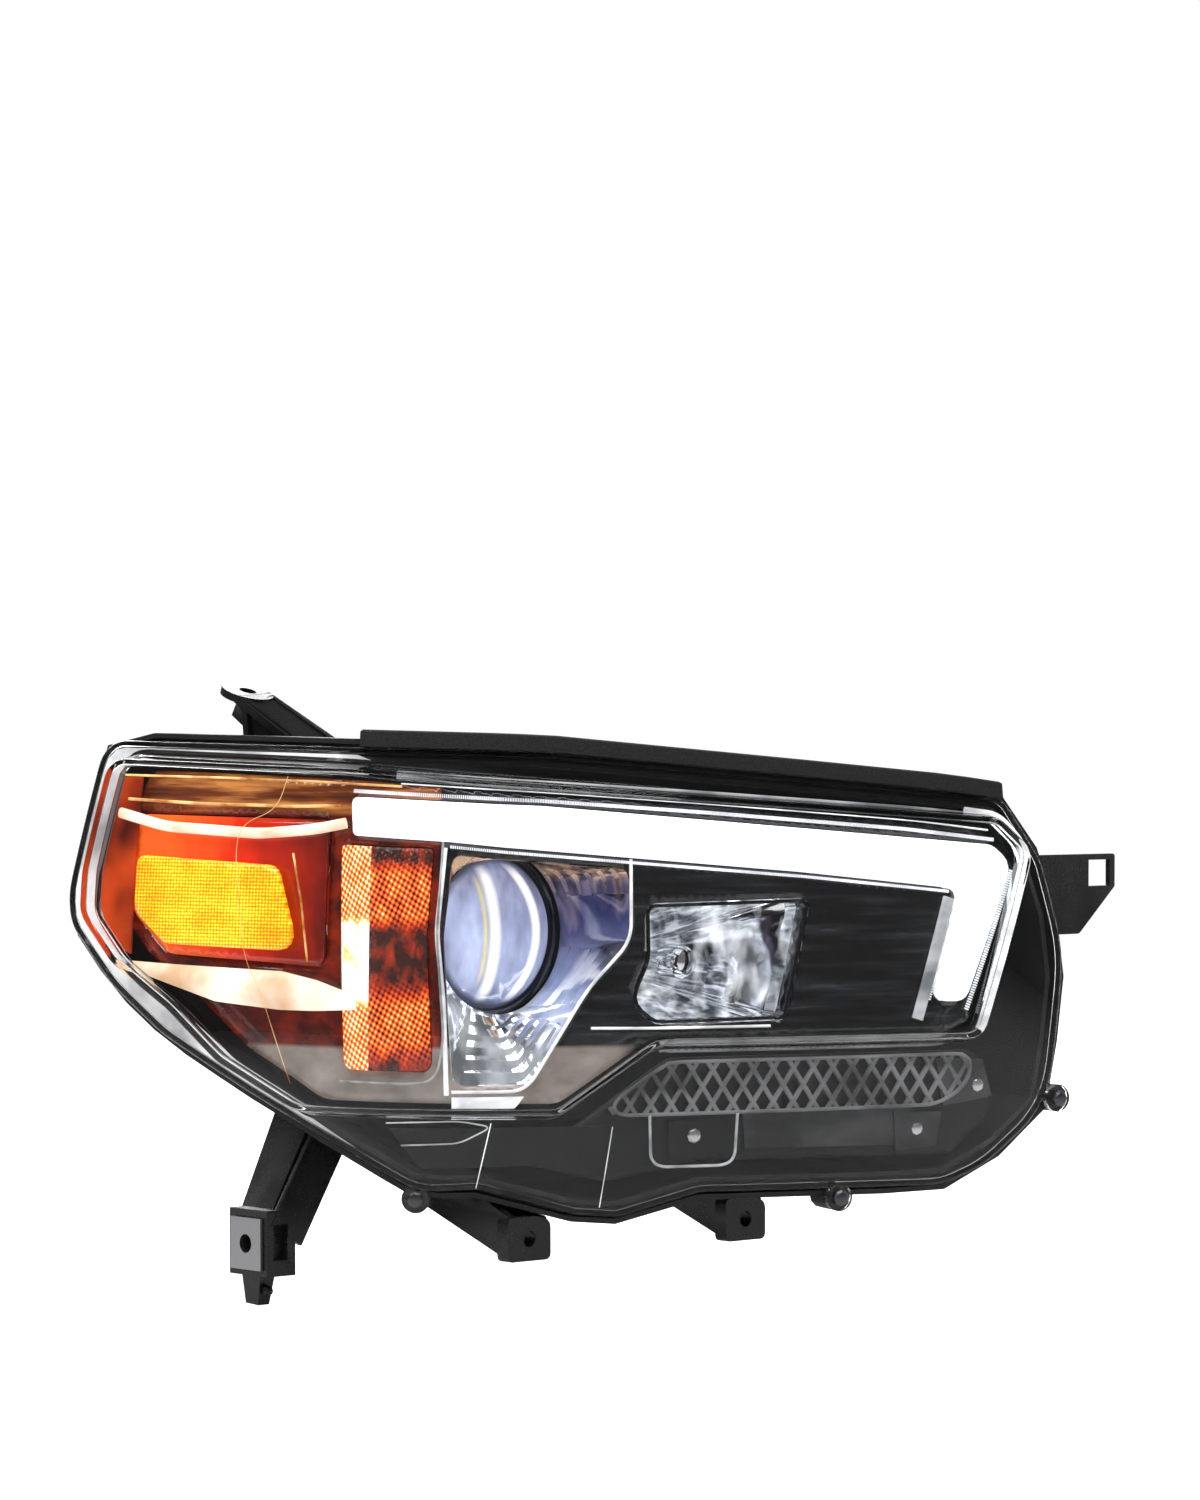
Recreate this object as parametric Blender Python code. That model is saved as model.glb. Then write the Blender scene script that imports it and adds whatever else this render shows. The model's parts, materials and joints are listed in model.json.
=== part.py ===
"""Right-hand headlight assembly of an off-road car, for Blender 4.5.

Frame while modelling: +X points inboard (towards the grille), -Y points forward,
+Z points up, sizes in millimetres.  The front lens lies on one plan curve; a place on it
is (s, z, d): s runs along the curve from its inboard end, z is the height and d is the
depth behind the lens's front face.  Finished meshes are written in metres, with the
origin on the front face of the inner lower mounting tab.
"""
import math

import bmesh
import bpy
import numpy as np
from mathutils.geometry import delaunay_2d_cdt

MM = 0.001
GAP = 0.3                       # clearance between pieces that touch
FACETS = 20                     # sides of a large round piece
SMALL_FACETS = 12               # sides of a bulb, socket or collar
TINY_FACETS = 8                 # sides of a screw or stud

# ---------------------------------------------------------------- lens surface
PLAN_START = (400.0, 0.0)       # x, y of the inboard end of the plan curve
FRONT_LENGTH = 290.0            # front stretch, seen from ahead
CORNER_LENGTH = 128.0           # stretch that wraps round the wing's corner
SIDE_LENGTH = 150.0             # stretch along the car's side
SWEEP_DEG = (14.0, 28.0, 74.0, 82.0)   # tangent angle at the ends of the stretches
CROWN_RADIUS = 800.0            # vertical crown of the lens
CROWN_Z = 130.0

LENS_WALL = 3.0
FLANGE_DEPTH = 14.0             # depth of the lens's flange behind its raised face
RIM_END_DEPTH = 30.0            # depth of the rear edge of the lens's rim
STEP_DRAFT = 2.0                # how far the step's foot stands out from its head
EDGE_ROUND = 1.5

# raised face: (s, z, fillet radius), outboard top corner first, then inboard
FACE_CORNERS = (
    (531.0, 271.0, 12.0), (380.0, 266.0, 80.0), (27.0, 241.0, 12.0), (8.0, 224.0, 12.0),
    (41.0, 129.3, 12.0), (218.0, 129.8, 14.0), (268.0, 96.5, 14.0), (402.0, 98.0, 30.0),
    (450.0, 121.0, 40.0), (482.0, 146.0, 30.0), (520.0, 168.5, 20.0), (543.0, 192.0, 16.0),
    (543.0, 214.0, 30.0))
FACE_ANCHORS = (0, 2, 4, 5, 6, 7, 8)
# outer edge of the flange, in the same order
FLANGE_CORNERS = (
    (549.0, 280.0, 16.0), (272.0, 274.0, 150.0), (16.0, 251.0, 14.0), (-5.0, 219.0, 24.0),
    (-17.0, 172.0, 60.0), (-7.0, 93.0, 22.0), (30.0, 64.0, 24.0), (54.0, 55.0, 24.0),
    (190.0, 56.0, 24.0), (234.0, 44.5, 14.0), (256.0, 46.5, 14.0), (307.0, 60.0, 30.0),
    (341.0, 59.0, 20.0), (378.0, 77.0, 60.0), (441.0, 105.5, 80.0), (497.0, 132.5, 40.0),
    (532.0, 156.0, 30.0), (563.0, 186.0, 20.0), (566.0, 202.0, 30.0))
FLANGE_ANCHORS = (0, 2, 5, 8, 10, 13, 14)
SECTION_COUNTS = (17, 5, 6, 3, 7, 3, 10)   # points between one anchor and the next

# ---------------------------------------------------------------- housing
HOUSING_WALL = 3.0
CHANNEL_DEPTH = 20.0            # depth of the front edge of the glue channel
CHANNEL_WALL = 2.5
CHANNEL_PLAY = 1.5              # glue on each side of the lens's rim
CHANNEL_FLOOR = 32.0
BODY_START = 38.0               # depth at which the housing's body leaves the channel
REAR_CENTRE_Z = 165.0
REAR_TAPER_TOP = 0.20
REAR_TAPER_BOTTOM = 0.12
TAPER_FADE = (400.0, 540.0)     # the taper fades out along the shallow tail
BELLY_DROP = 14.0               # the belly under the outboard corner
BELLY_S = 440.0
BELLY_WIDTH = 50.0
# rear wall in plan: at s, how far it lies inboard of and behind the plan curve
REAR_REACH = ((-17.0, -14.0, 118.0), (80.0, 23.0, 178.0), (180.0, 33.0, 203.0),
              (300.0, 43.0, 171.0), (420.0, 67.0, 84.0), (500.0, 60.0, 27.0), (566.0, 45.0, 10.0))

# ---------------------------------------------------------------- screws and foam seal
LENS_SCREWS = ((342.0, 55.6), (114.0, 50.9), (-12.4, 97.0))      # s, z just outside the flange
TRIM_SCREWS = ((192.0, 84.0), (68.0, 84.0), (32.5, 105.0))       # s, z on the lower trim
LUG_RADIUS = 7.0
PAD_RISE = 0.6                  # screw pads stand this far out of the flange, front and back
SCREW_HEAD = 4.2
SCREW_SHANK = 1.9
SCREW_BORE = 2.3
SEAL_SPAN = (18.0, 376.0)       # s at the ends of the foam strip
SEAL_HEIGHT = 8.0
SEAL_FRONT = 11.0               # depths of its front and back edges
SEAL_BACK = 26.0

# ---------------------------------------------------------------- inner trim
BEZEL_DEPTH = 26.0
BEZEL_WALL = 2.5
BEZEL_CORNERS = (
    (524.0, 265.0, 12.0), (380.0, 260.0, 80.0), (24.0, 236.5, 12.0), (3.5, 220.0, 10.0),
    (36.0, 137.0, 10.0), (50.0, 131.5, 8.0), (216.0, 131.5, 14.0), (263.0, 101.0, 14.0),
    (400.0, 103.0, 26.0), (448.0, 127.0, 34.0), (480.0, 151.0, 26.0), (516.0, 173.0, 18.0),
    (537.0, 194.0, 14.0), (537.0, 213.0, 26.0))
TRIM_PLAY = 0.6                 # play round pieces that sit in the bezel's openings
DRL_CORNERS = (
    (384.0, 251.8, 3.0), (269.0, 247.3, 60.0), (20.0, 226.5, 10.0), (8.8, 217.0, 10.0),
    (39.0, 147.7, 8.0), (58.6, 147.7, 8.0), (40.0, 204.5, 5.0), (129.0, 213.7, 60.0),
    (322.0, 229.8, 60.0), (382.0, 233.0, 3.0))
DRL_FRONT = 23.0
DRL_THICK = 11.0
PROJECTOR_OPENING = (
    (321.0, 224.0, 6.0), (224.0, 216.5, 6.0), (223.0, 181.0, 10.0), (246.0, 158.0, 14.0),
    (277.0, 110.0, 8.0), (322.0, 110.0, 8.0), (327.0, 184.0, 30.0))
HIGH_BEAM_OPENING = (
    (216.0, 199.0, 5.0), (125.0, 201.0, 5.0), (140.0, 140.0, 6.0), (212.0, 139.0, 10.0),
    (226.0, 150.0, 10.0), (216.0, 172.0, 20.0))
TURN_OPENING = ((391.0, 229.0, 3.0), (332.0, 227.0, 3.0), (336.0, 184.0, 30.0),
                (333.0, 117.0, 6.0), (386.0, 118.0, 6.0), (389.0, 184.0, 30.0))
SIDE_OPENING = ((527.0, 243.0, 8.0), (398.0, 241.0, 4.0), (398.0, 168.0, 6.0),
                (500.0, 172.0, 14.0), (527.0, 194.0, 12.0))
SIDE_TRAY = ((503.0, 236.0, 8.0), (415.0, 236.0, 6.0), (415.0, 172.0, 6.0), (490.0, 176.0, 10.0),
             (503.0, 194.0, 10.0))
REFLEX_CORNERS = ((519.0, 222.0, 5.0), (428.0, 218.0, 8.0), (413.0, 176.0, 8.0),
                  (497.0, 178.0, 8.0), (519.0, 194.0, 10.0))
REFLEX_FRONT = 17.0
REFLEX_THICK = 3.0
AMBER_WALL = 2.5
TURN_RIDGE = 7.0                # the turn lens's ridge stands this far out of its edges
TURN_RIDGE_S = 369.0
LOWER_TRIM_CORNERS = (
    (206.0, 123.0, 8.0), (32.0, 123.0, 10.0), (22.0, 92.0, 14.0), (46.0, 70.0, 14.0),
    (190.0, 71.0, 14.0), (238.0, 62.0, 14.0), (302.0, 76.0, 10.0), (316.0, 88.0, 6.0),
    (258.0, 88.0, 10.0))
GRILLE_CORNERS = ((207.0, 121.0, 4.0), (34.0, 121.5, 6.0), (42.0, 104.0, 8.0),
                  (58.0, 96.0, 6.0), (247.0, 95.0, 4.0))
GRILLE_FRONT = 19.5
GRILLE_THICK = 3.0
GRILLE_PITCH = 10.0             # diamond width along s
GRILLE_ROW = 11.0               # diamond height
GRILLE_BAR = 2.2
LOWER_TRIM_DEPTH = 23.5
LOWER_TRIM_WALL = 2.5

# ---------------------------------------------------------------- optics
PROJECTOR_S = 254.6             # the projector's axis crosses the plan curve here
PROJECTOR_Z = 184.0
PROJECTOR_SETBACK = 75.0        # rim plane of the glass behind the plan curve, along Y
CARRIER_SETBACK = 16.0          # carrier plate behind the rim plane of the glass
GLASS_RADIUS = 38.0
GLASS_EDGE = 3.5
GLASS_DOME = 14.0
RING_WALL = 4.5
RING_LIP = 2.0
RING_NOSE = 4.0                 # how far the ring stands ahead of the rim plane
SHROUD_FOOT = 40.5              # inner radius of the shroud's rear end
SHROUD_PLAY = 4.5               # room for the aim movement behind the shroud
SHROUD_WALL = 1.6
CARRIER_WALL = 3.0
REFLECTOR_WALL = 1.6
REFLECTOR_LENGTH = 54.0
BULB_HOLE = 12.0
HIGH_BEAM_X_FROM_PROJECTOR = 92.0
HIGH_BEAM_Z = 168.0
HIGH_BEAM_RIM_DEPTH = 42.0
HIGH_BEAM_LIP = 2.0             # how far the reflector's mouth stands outside its opening
HIGH_BULB_BASE = 12.0
HIGH_BEAM_SIDES = 26
REFLECTOR_MOUTH = 41.0
SHIELD_RADIUS = 39.0

# ---------------------------------------------------------------- aim adjuster
PIVOT_Z = 230.0
PIVOT_OUTBOARD = 26.0           # pivots, left and right of the projector's axis
PIVOT_INBOARD = 128.0
BALL_RADIUS = 5.0
SOCKET_WALL = 2.5
STUD_RADIUS = 3.0
BOSS_RADIUS = 8.0               # bosses of the studs and the aim screw on the rear wall
AIM_X_FROM_PROJECTOR = 53.0
AIM_Z = 122.0
AIM_TRAVEL = 3.0                # how far the ball nut moves each way

# ---------------------------------------------------------------- service pieces
LOW_CAP_RADIUS = 36.0
HIGH_CAP_RADIUS = 31.0
COLLAR_WALL = 2.5
COLLAR_DEPTH = 30.0             # collars reach inwards past the slanting rear wall
SIDE_COLLAR_DEPTH = 27.0
CAP_WALL = 2.0
SOCKET_BORE = 12.5
TURN_BULB_Z = 156.0
SIDE_BULB_Y_BACK = 46.0         # ahead of the tail end of the plan curve
SIDE_BULB_Z = 230.0
VENT_RADIUS = 5.0
CONNECTOR_AT = (322.0, 116.0)   # x, z on the rear wall

# ---------------------------------------------------------------- brackets
TAB_HOLE_RADIUS = 4.15
TAB_SPACING = 147.0             # between the two lower tabs
TAB_INNER = (297.0, 118.0, 35.0)   # x, y, z of the inner tab's hole, on its front face
TAB_THICK = 8.0
EYELET = (108.0, 288.0, 303.0)
EYELET_RADIUS = 13.5
EYELET_HOLE = 4.5
EYELET_THICK = 4.0
EYELET_TILT_DEG = 20.0
INBOARD_PLATE_Y = 22.0
INBOARD_TIP_X = 470.0
INBOARD_HOLE = (16.0, 13.5)     # rectangular hole, X by Z
INBOARD_TOP_Z = 221.0
PLATE_WALL = 3.0
CLIP = (62.0, 232.0, 30.0)      # x of the outboard face, y and z of the nut's hole
CLIP_NUT_RADIUS = 4.8

# the row's origin: the inner tab's front face, beside its hole
ORIGIN = np.array([TAB_INNER[0], TAB_INNER[1], TAB_INNER[2] - 7.0])


# ================================================================ plan curve
def plan_table(step=0.5, before=-80.0):
    """Walk the curve: its tangent angle grows evenly along each stretch."""
    knots = np.cumsum((0.0, FRONT_LENGTH, CORNER_LENGTH, SIDE_LENGTH))
    s = np.arange(before, knots[-1] + 60.0, step)
    angle = np.radians(np.interp(s, knots, SWEEP_DEG))
    dx = np.cumsum(-np.cos(angle)) * step
    dy = np.cumsum(np.sin(angle)) * step
    start = np.argmin(abs(s))
    return s, angle, dx - dx[start] + PLAN_START[0], dy - dy[start] + PLAN_START[1]


PLAN_S, PLAN_ANGLE, PLAN_X, PLAN_Y = plan_table()


def inward(s):
    """Unit vector from the lens into the lamp at s."""
    angle = np.interp(s, PLAN_S, PLAN_ANGLE)
    return np.stack([np.sin(angle), np.cos(angle), np.zeros_like(angle)], -1)


def surface(s, z, depth):
    """Point at height z and the given depth behind the lens's front face."""
    s = np.asarray(s, float)
    z = np.asarray(z, float)
    base = np.stack([np.interp(s, PLAN_S, PLAN_X), np.interp(s, PLAN_S, PLAN_Y), z], -1)
    crown = (z - CROWN_Z) ** 2 / (2 * CROWN_RADIUS)
    return base + inward(s) * np.asarray(depth + crown)[..., None]


def rear(s, z):
    """Point of the housing's rear wall that belongs to (s, z)."""
    s = np.asarray(s, float)
    z = np.asarray(z, float)
    knots, across, back = np.array(REAR_REACH).T
    x = np.interp(s, PLAN_S, PLAN_X) + np.interp(s, knots, across)
    y = np.interp(s, PLAN_S, PLAN_Y) + np.interp(s, knots, back)
    rise = z - REAR_CENTRE_Z
    taper = np.where(rise > 0, REAR_TAPER_TOP, REAR_TAPER_BOTTOM)
    taper = taper * np.interp(s, TAPER_FADE, (1.0, 0.3))
    low = np.clip(-rise / 50.0, 0.0, 1.0)
    belly = BELLY_DROP * np.exp(-((s - BELLY_S) / BELLY_WIDTH) ** 2) * low
    return np.stack([x, y, z - rise * taper - belly], -1)


def body_point(s, z, share):
    """Between the end of the glue channel (share 0) and the rear wall (share 1)."""
    return surface(s, z, BODY_START) * (1 - share) + rear(s, z) * share


def rear_y(x):
    """Y of the rear wall's outside at x."""
    s = np.linspace(REAR_REACH[0][0], REAR_REACH[-1][0], 200)
    points = rear(s, np.full_like(s, REAR_CENTRE_Z))
    order = np.argsort(points[:, 0])
    return float(np.interp(x, points[order, 0], points[order, 1]))


def rear_x(y):
    """X of the rear wall's outside at y."""
    s = np.linspace(REAR_REACH[0][0], REAR_REACH[-1][0], 200)
    points = rear(s, np.full_like(s, REAR_CENTRE_Z))
    return float(np.interp(y, points[:, 1], points[:, 0]))


# ================================================================ outlines
def rounded(corners):
    """Outline through corners (u, v, radius) with true arcs; also each arc's middle."""
    points, middles = [], []
    flat = np.array([c[:2] for c in corners], float)
    for i, (u, v, radius) in enumerate(corners):
        here = flat[i]
        to_last = flat[i - 1] - here
        to_next = flat[(i + 1) % len(flat)] - here
        room = 0.45 * min(np.linalg.norm(to_last), np.linalg.norm(to_next))
        to_last /= np.linalg.norm(to_last)
        to_next /= np.linalg.norm(to_next)
        half = math.acos(float(np.clip(to_last @ to_next, -1, 1))) / 2
        tangent = min(radius / math.tan(half), room)
        radius = tangent * math.tan(half)
        centre = here + (to_last + to_next) / np.linalg.norm(to_last + to_next) * radius / math.sin(half)
        start = here + to_last * tangent - centre
        end = here + to_next * tangent - centre
        turn = math.atan2(start[0] * end[1] - start[1] * end[0], start @ end)
        steps = max(2, math.ceil(abs(turn) / math.radians(30)))
        first = math.atan2(start[1], start[0])
        middles.append(len(points) + steps // 2)
        for k in range(steps + 1):
            angle = first + turn * k / steps
            points.append(centre + radius * np.array([math.cos(angle), math.sin(angle)]))
    return np.array(points), middles


def matched(corners, anchors, counts=SECTION_COUNTS):
    """Outline with counts[k] equal steps from anchor k to the next one."""
    points, middles = rounded(corners)
    picked = []
    for k, count in enumerate(counts):
        first = middles[anchors[k]]
        last = middles[anchors[(k + 1) % len(anchors)]]
        if last <= first:
            last += len(points)
        run = points[np.arange(first, last + 1) % len(points)]
        length = np.concatenate([[0.0], np.cumsum(np.linalg.norm(np.diff(run, axis=0), axis=1))])
        at = np.linspace(0.0, length[-1], count + 1)[:-1]
        picked.append(np.stack([np.interp(at, length, run[:, i]) for i in (0, 1)], -1))
    return np.concatenate(picked)


def area(loop):
    nxt = np.roll(loop, -1, 0)
    return 0.5 * float(np.sum(loop[:, 0] * nxt[:, 1] - nxt[:, 0] * loop[:, 1]))


def grow(loop, distance):
    """The outline moved outwards by distance, or inwards when it is negative."""
    before = loop - np.roll(loop, 1, 0)
    after = np.roll(loop, -1, 0) - loop
    before /= np.linalg.norm(before, axis=1)[:, None]
    after /= np.linalg.norm(after, axis=1)[:, None]
    along = before + after
    along /= np.linalg.norm(along, axis=1)[:, None]
    stretch = np.clip(np.sum(along * after, axis=1), 0.6, 1.0)
    out = np.stack([along[:, 1], -along[:, 0]], -1) * np.sign(area(loop))
    return loop + out * (distance / stretch)[:, None]


def inside(points, loops):
    """Even-odd test of points against all loops at once, so holes count as outside."""
    points = np.atleast_2d(points)
    odd = np.zeros(len(points), bool)
    for loop in loops:
        a, b = loop, np.roll(loop, -1, 0)
        for (x0, y0), (x1, y1) in zip(a, b):
            crosses = (y0 > points[:, 1]) != (y1 > points[:, 1])
            if y0 == y1:
                continue
            at = x0 + (points[:, 1] - y0) * (x1 - x0) / (y1 - y0)
            odd ^= crosses & (points[:, 0] < at)
    return odd


def circle(radius, count, centre=(0.0, 0.0)):
    angle = np.linspace(0, 2 * math.pi, count, endpoint=False)
    return np.stack([centre[0] + radius * np.cos(angle), centre[1] + radius * np.sin(angle)], -1)


# ================================================================ meshes
def triangulate(loops, grid=None):
    """Triangles inside loops[0] and outside the other loops, with a grid of inner points."""
    points = np.concatenate(loops)
    edges, base = [], 0
    for loop in loops:
        edges += [(base + i, base + (i + 1) % len(loop)) for i in range(len(loop))]
        base += len(loop)
    if grid:
        low, high = loops[0].min(0), loops[0].max(0)
        axes = [np.arange(low[i] + grid[i] / 2, high[i], grid[i]) for i in (0, 1)]
        inner = np.stack(np.meshgrid(*axes), -1).reshape(-1, 2)
        inner = inner[inside(inner, loops)]
        room = [np.linalg.norm((points - p) / np.array(grid), axis=1).min() for p in inner]
        inner = inner[np.array(room) > 0.4]
        points = np.concatenate([points, inner])
    verts, lines, faces, _, sources, _ = delaunay_2d_cdt([tuple(p) for p in points], edges, [], 0, 1e-5)
    faces = [tuple(face) for face in faces]
    border = {tuple(sorted(line)) for line, source in zip(lines, sources) if source}
    sides = {}
    for index, face in enumerate(faces):
        for side in face_sides(face):
            sides.setdefault(side, []).append(index)
    # start at the hull and swap between outside and inside at every border that is crossed
    within = {}
    queue = [(used[0], side in border) for side, used in sides.items() if len(used) == 1]
    while queue:
        index, state = queue.pop()
        if index in within:
            continue
        within[index] = state
        for side in face_sides(faces[index]):
            queue += [(other, state ^ (side in border)) for other in sides[side] if other not in within]
    return np.array([tuple(v) for v in verts]), [face for i, face in enumerate(faces) if within[i]]


def face_sides(face):
    """A face's edges, each as a sorted pair."""
    return [tuple(sorted(pair)) for pair in zip(face, face[1:] + face[:1])]


def mesh_of(verts, faces):
    """Closed mesh in metres with merged points and faces pointing out."""
    bm = bmesh.new()
    made = [bm.verts.new((np.asarray(v) - ORIGIN) * MM) for v in verts]
    for face in faces:
        bm.faces.new([made[i] for i in face])
    bmesh.ops.remove_doubles(bm, verts=bm.verts, dist=0.00001)
    bmesh.ops.recalc_face_normals(bm, faces=bm.faces)
    mesh = bpy.data.meshes.new("piece")
    bm.to_mesh(mesh)
    bm.free()
    return mesh


class Builder:
    """Collects points and faces of one closed piece."""

    def __init__(self):
        self.verts, self.faces = [], []

    def add(self, points, faces):
        base = len(self.verts)
        self.verts += [np.asarray(p, float) for p in points]
        self.faces += [tuple(base + i for i in f) for f in faces]

    def loft(self, rings, closed=False):
        """Quads between neighbouring rings of equal length."""
        pairs = list(zip(rings[:-1], rings[1:]))
        if closed:
            pairs.append((rings[-1], rings[0]))
        for a, b in pairs:
            n = len(a)
            faces = [(i, (i + 1) % n, n + (i + 1) % n, n + i) for i in range(n)]
            self.add(list(a) + list(b), faces)

    def fill(self, loop, place, grid=None, holes=()):
        """Triangulated cap: place turns (u, v) points into space."""
        verts, faces = triangulate([loop, *holes], grid)
        self.add(place(verts), faces)

    def mesh(self):
        return mesh_of(self.verts, self.faces)


def panel(loops, front, back, grid=None):
    """Closed sheet: the same triangles placed by front and by back, walled at every edge."""
    verts, faces = triangulate(loops, grid)
    n = len(verts)
    count = {}
    for face in faces:
        for a, b in zip(face, face[1:] + face[:1]):
            count[(a, b)] = 1
    walls = [(b, a, a + n, b + n) for a, b in count if (b, a) not in count]
    made = Builder()
    made.add(list(front(verts)) + list(back(verts)),
             faces + [tuple(i + n for i in reversed(f)) for f in faces] + walls)
    return made.mesh()


def curved_panel(loops, front_depth, thickness, grid=None):
    """Sheet that follows the lens's surface."""
    return panel(loops, lambda p: surface(p[:, 0], p[:, 1], front_depth),
                 lambda p: surface(p[:, 0], p[:, 1], front_depth + thickness), grid)


def axes_for(direction):
    """Two unit vectors across the direction."""
    along = np.asarray(direction, float)
    along = along / np.linalg.norm(along)
    helper = np.array([0.0, 0.0, 1.0]) if abs(along[2]) < 0.9 else np.array([1.0, 0.0, 0.0])
    first = np.cross(helper, along)
    first /= np.linalg.norm(first)
    return first, np.cross(along, first), along


def turned(profile, centre, direction, count=FACETS, tube=False):
    """Profile of (radius, distance along) turned about an axis; a tube's profile is a loop."""
    first, second, along = axes_for(direction)
    ring = circle(1.0, count)
    rings = []
    for radius, distance in profile:
        flat = ring * max(radius, 0.0)
        rings.append(np.asarray(centre, float) + along * distance
                     + flat[:, :1] * first + flat[:, 1:] * second)
    made = Builder()
    made.loft(rings, closed=tube)
    return made.mesh()


def rod(radius, start, end, count=TINY_FACETS):
    """Solid cylinder between two points."""
    start = np.asarray(start, float)
    end = np.asarray(end, float)
    length = float(np.linalg.norm(end - start))
    return turned([(0, 0), (radius, 0), (radius, length), (0, length)], start, end - start, count)


def plate(outline, holes, origin, across, up, thickness):
    """Flat plate: outline in (across, up) from origin, extruded along their cross product."""
    across = np.asarray(across, float)
    up = np.asarray(up, float)
    normal = np.cross(across, up)

    def place(points, level):
        return np.asarray(origin) + points[:, :1] * across + points[:, 1:] * up + normal * level

    return panel([outline, *holes], lambda p: place(p, 0.0), lambda p: place(p, thickness))


def block(low, high):
    """Box between two corners."""
    (x0, y0, z0), (x1, y1, z1) = low, high
    outline = np.array([(x0, z0), (x1, z0), (x1, z1), (x0, z1)])
    return panel([outline], lambda p: np.stack([p[:, 0], np.full(len(p), y0), p[:, 1]], -1),
                 lambda p: np.stack([p[:, 0], np.full(len(p), y1), p[:, 1]], -1))


def beam(start, end, width, thick, side, end_width=None, end_thick=None):
    """Tapering bar between two points; side is the direction of its width."""
    start = np.asarray(start, float)
    end = np.asarray(end, float)
    along = (end - start) / np.linalg.norm(end - start)
    side = np.asarray(side, float) - along * (np.asarray(side, float) @ along)
    side /= np.linalg.norm(side)
    normal = np.cross(along, side)
    sizes = ((start, width, thick), (end, end_width or width, end_thick or thick))
    corners = []
    for at, w, t in sizes:
        corners.append([at + side * w / 2 * i + normal * t / 2 * j
                        for i, j in ((-1, -1), (1, -1), (1, 1), (-1, 1))])
    made = Builder()
    made.loft(corners)
    made.add(corners[0], [(0, 1, 2, 3)])
    made.add(corners[1], [(3, 2, 1, 0)])
    return made.mesh()


def cleaned(mesh):
    """Merge the slivers that a Boolean leaves and join its faces that lie in one plane."""
    bm = bmesh.new()
    bm.from_mesh(mesh)
    bmesh.ops.dissolve_limit(bm, angle_limit=math.radians(0.2), verts=bm.verts, edges=bm.edges)
    bmesh.ops.triangulate(bm, faces=bm.faces)
    bmesh.ops.dissolve_degenerate(bm, edges=bm.edges, dist=0.000003)
    bm.to_mesh(mesh)
    bm.free()
    return mesh


def combined(base, joined=(), cut=()):
    """Base mesh with other meshes joined to it and then cut from it."""
    for meshes, operation in ((joined, "UNION"), (cut, "DIFFERENCE")):
        if not meshes:
            continue
        holder = bpy.data.objects.new("holder", base)
        bpy.context.scene.collection.objects.link(holder)
        group = bpy.data.collections.new("helpers")
        bpy.context.scene.collection.children.link(group)
        for mesh in meshes:
            group.objects.link(bpy.data.objects.new("helper", mesh))
        step = holder.modifiers.new(operation.lower(), "BOOLEAN")
        step.operation = operation
        step.solver = "EXACT"
        step.operand_type = "COLLECTION"
        step.collection = group
        graph = bpy.context.evaluated_depsgraph_get()
        base = cleaned(bpy.data.meshes.new_from_object(holder.evaluated_get(graph)))
        for used in [holder, *group.objects]:
            bpy.data.objects.remove(used)
        bpy.data.collections.remove(group)
    return base


LOOKS = {
    "black_plastic": ((0.02, 0.02, 0.022), 0.45, 0.0, 1.0),
    "gloss_black": ((0.01, 0.01, 0.012), 0.12, 0.0, 1.0),
    "chrome": ((0.85, 0.86, 0.88), 0.08, 1.0, 1.0),
    "clear_plastic": ((0.9, 0.93, 0.95), 0.03, 0.0, 0.25),
    "amber_plastic": ((1.0, 0.32, 0.02), 0.15, 0.0, 0.75),
    "optical_glass": ((0.85, 0.9, 1.0), 0.02, 0.0, 0.4),
    "light_guide": ((0.95, 0.97, 1.0), 0.25, 0.0, 0.9),
    "zinc": ((0.6, 0.6, 0.62), 0.3, 1.0, 1.0),
    "rubber": ((0.03, 0.03, 0.03), 0.8, 0.0, 1.0),
    "foam": ((0.035, 0.035, 0.037), 0.95, 0.0, 1.0),
    "sealant": ((0.05, 0.05, 0.05), 0.6, 0.0, 1.0),
    "circuit_board": ((0.85, 0.87, 0.85), 0.5, 0.0, 1.0),
}


def material(look):
    """The Principled material of one look, made once."""
    if look in bpy.data.materials:
        return bpy.data.materials[look]
    colour, rough, metallic, alpha = LOOKS[look]
    made = bpy.data.materials.new(look)
    made.use_nodes = True
    shader = made.node_tree.nodes["Principled BSDF"]
    shader.inputs["Base Color"].default_value = (*colour, 1.0)
    shader.inputs["Roughness"].default_value = rough
    shader.inputs["Metallic"].default_value = metallic
    shader.inputs["Alpha"].default_value = alpha
    return made


def piece(name, mesh, look, pivot=None):
    """Scene object from a mesh; pivot (modelling frame) becomes its origin."""
    mesh.name = name
    if pivot is not None:
        shift = (np.asarray(pivot, float) - ORIGIN) * MM
        flat = np.empty(len(mesh.vertices) * 3, np.float32)
        mesh.vertices.foreach_get("co", flat)
        mesh.vertices.foreach_set("co", (flat.reshape(-1, 3) - shift).astype(np.float32).ravel())
    mesh.materials.clear()
    mesh.materials.append(material(look))
    mesh.shade_smooth()
    mesh.set_sharp_from_angle(angle=math.radians(30))
    made = bpy.data.objects.new(name, mesh)
    if pivot is not None:
        made.location = shift
    bpy.context.scene.collection.objects.link(made)
    return made


# ================================================================ shared places
FACE_LOOP = matched(FACE_CORNERS, FACE_ANCHORS)
FLANGE_LOOP = matched(FLANGE_CORNERS, FLANGE_ANCHORS)
BACKWARD = np.array([0.0, 1.0, 0.0])
INBOARD = np.array([1.0, 0.0, 0.0])
UP = np.array([0.0, 0.0, 1.0])

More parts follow.
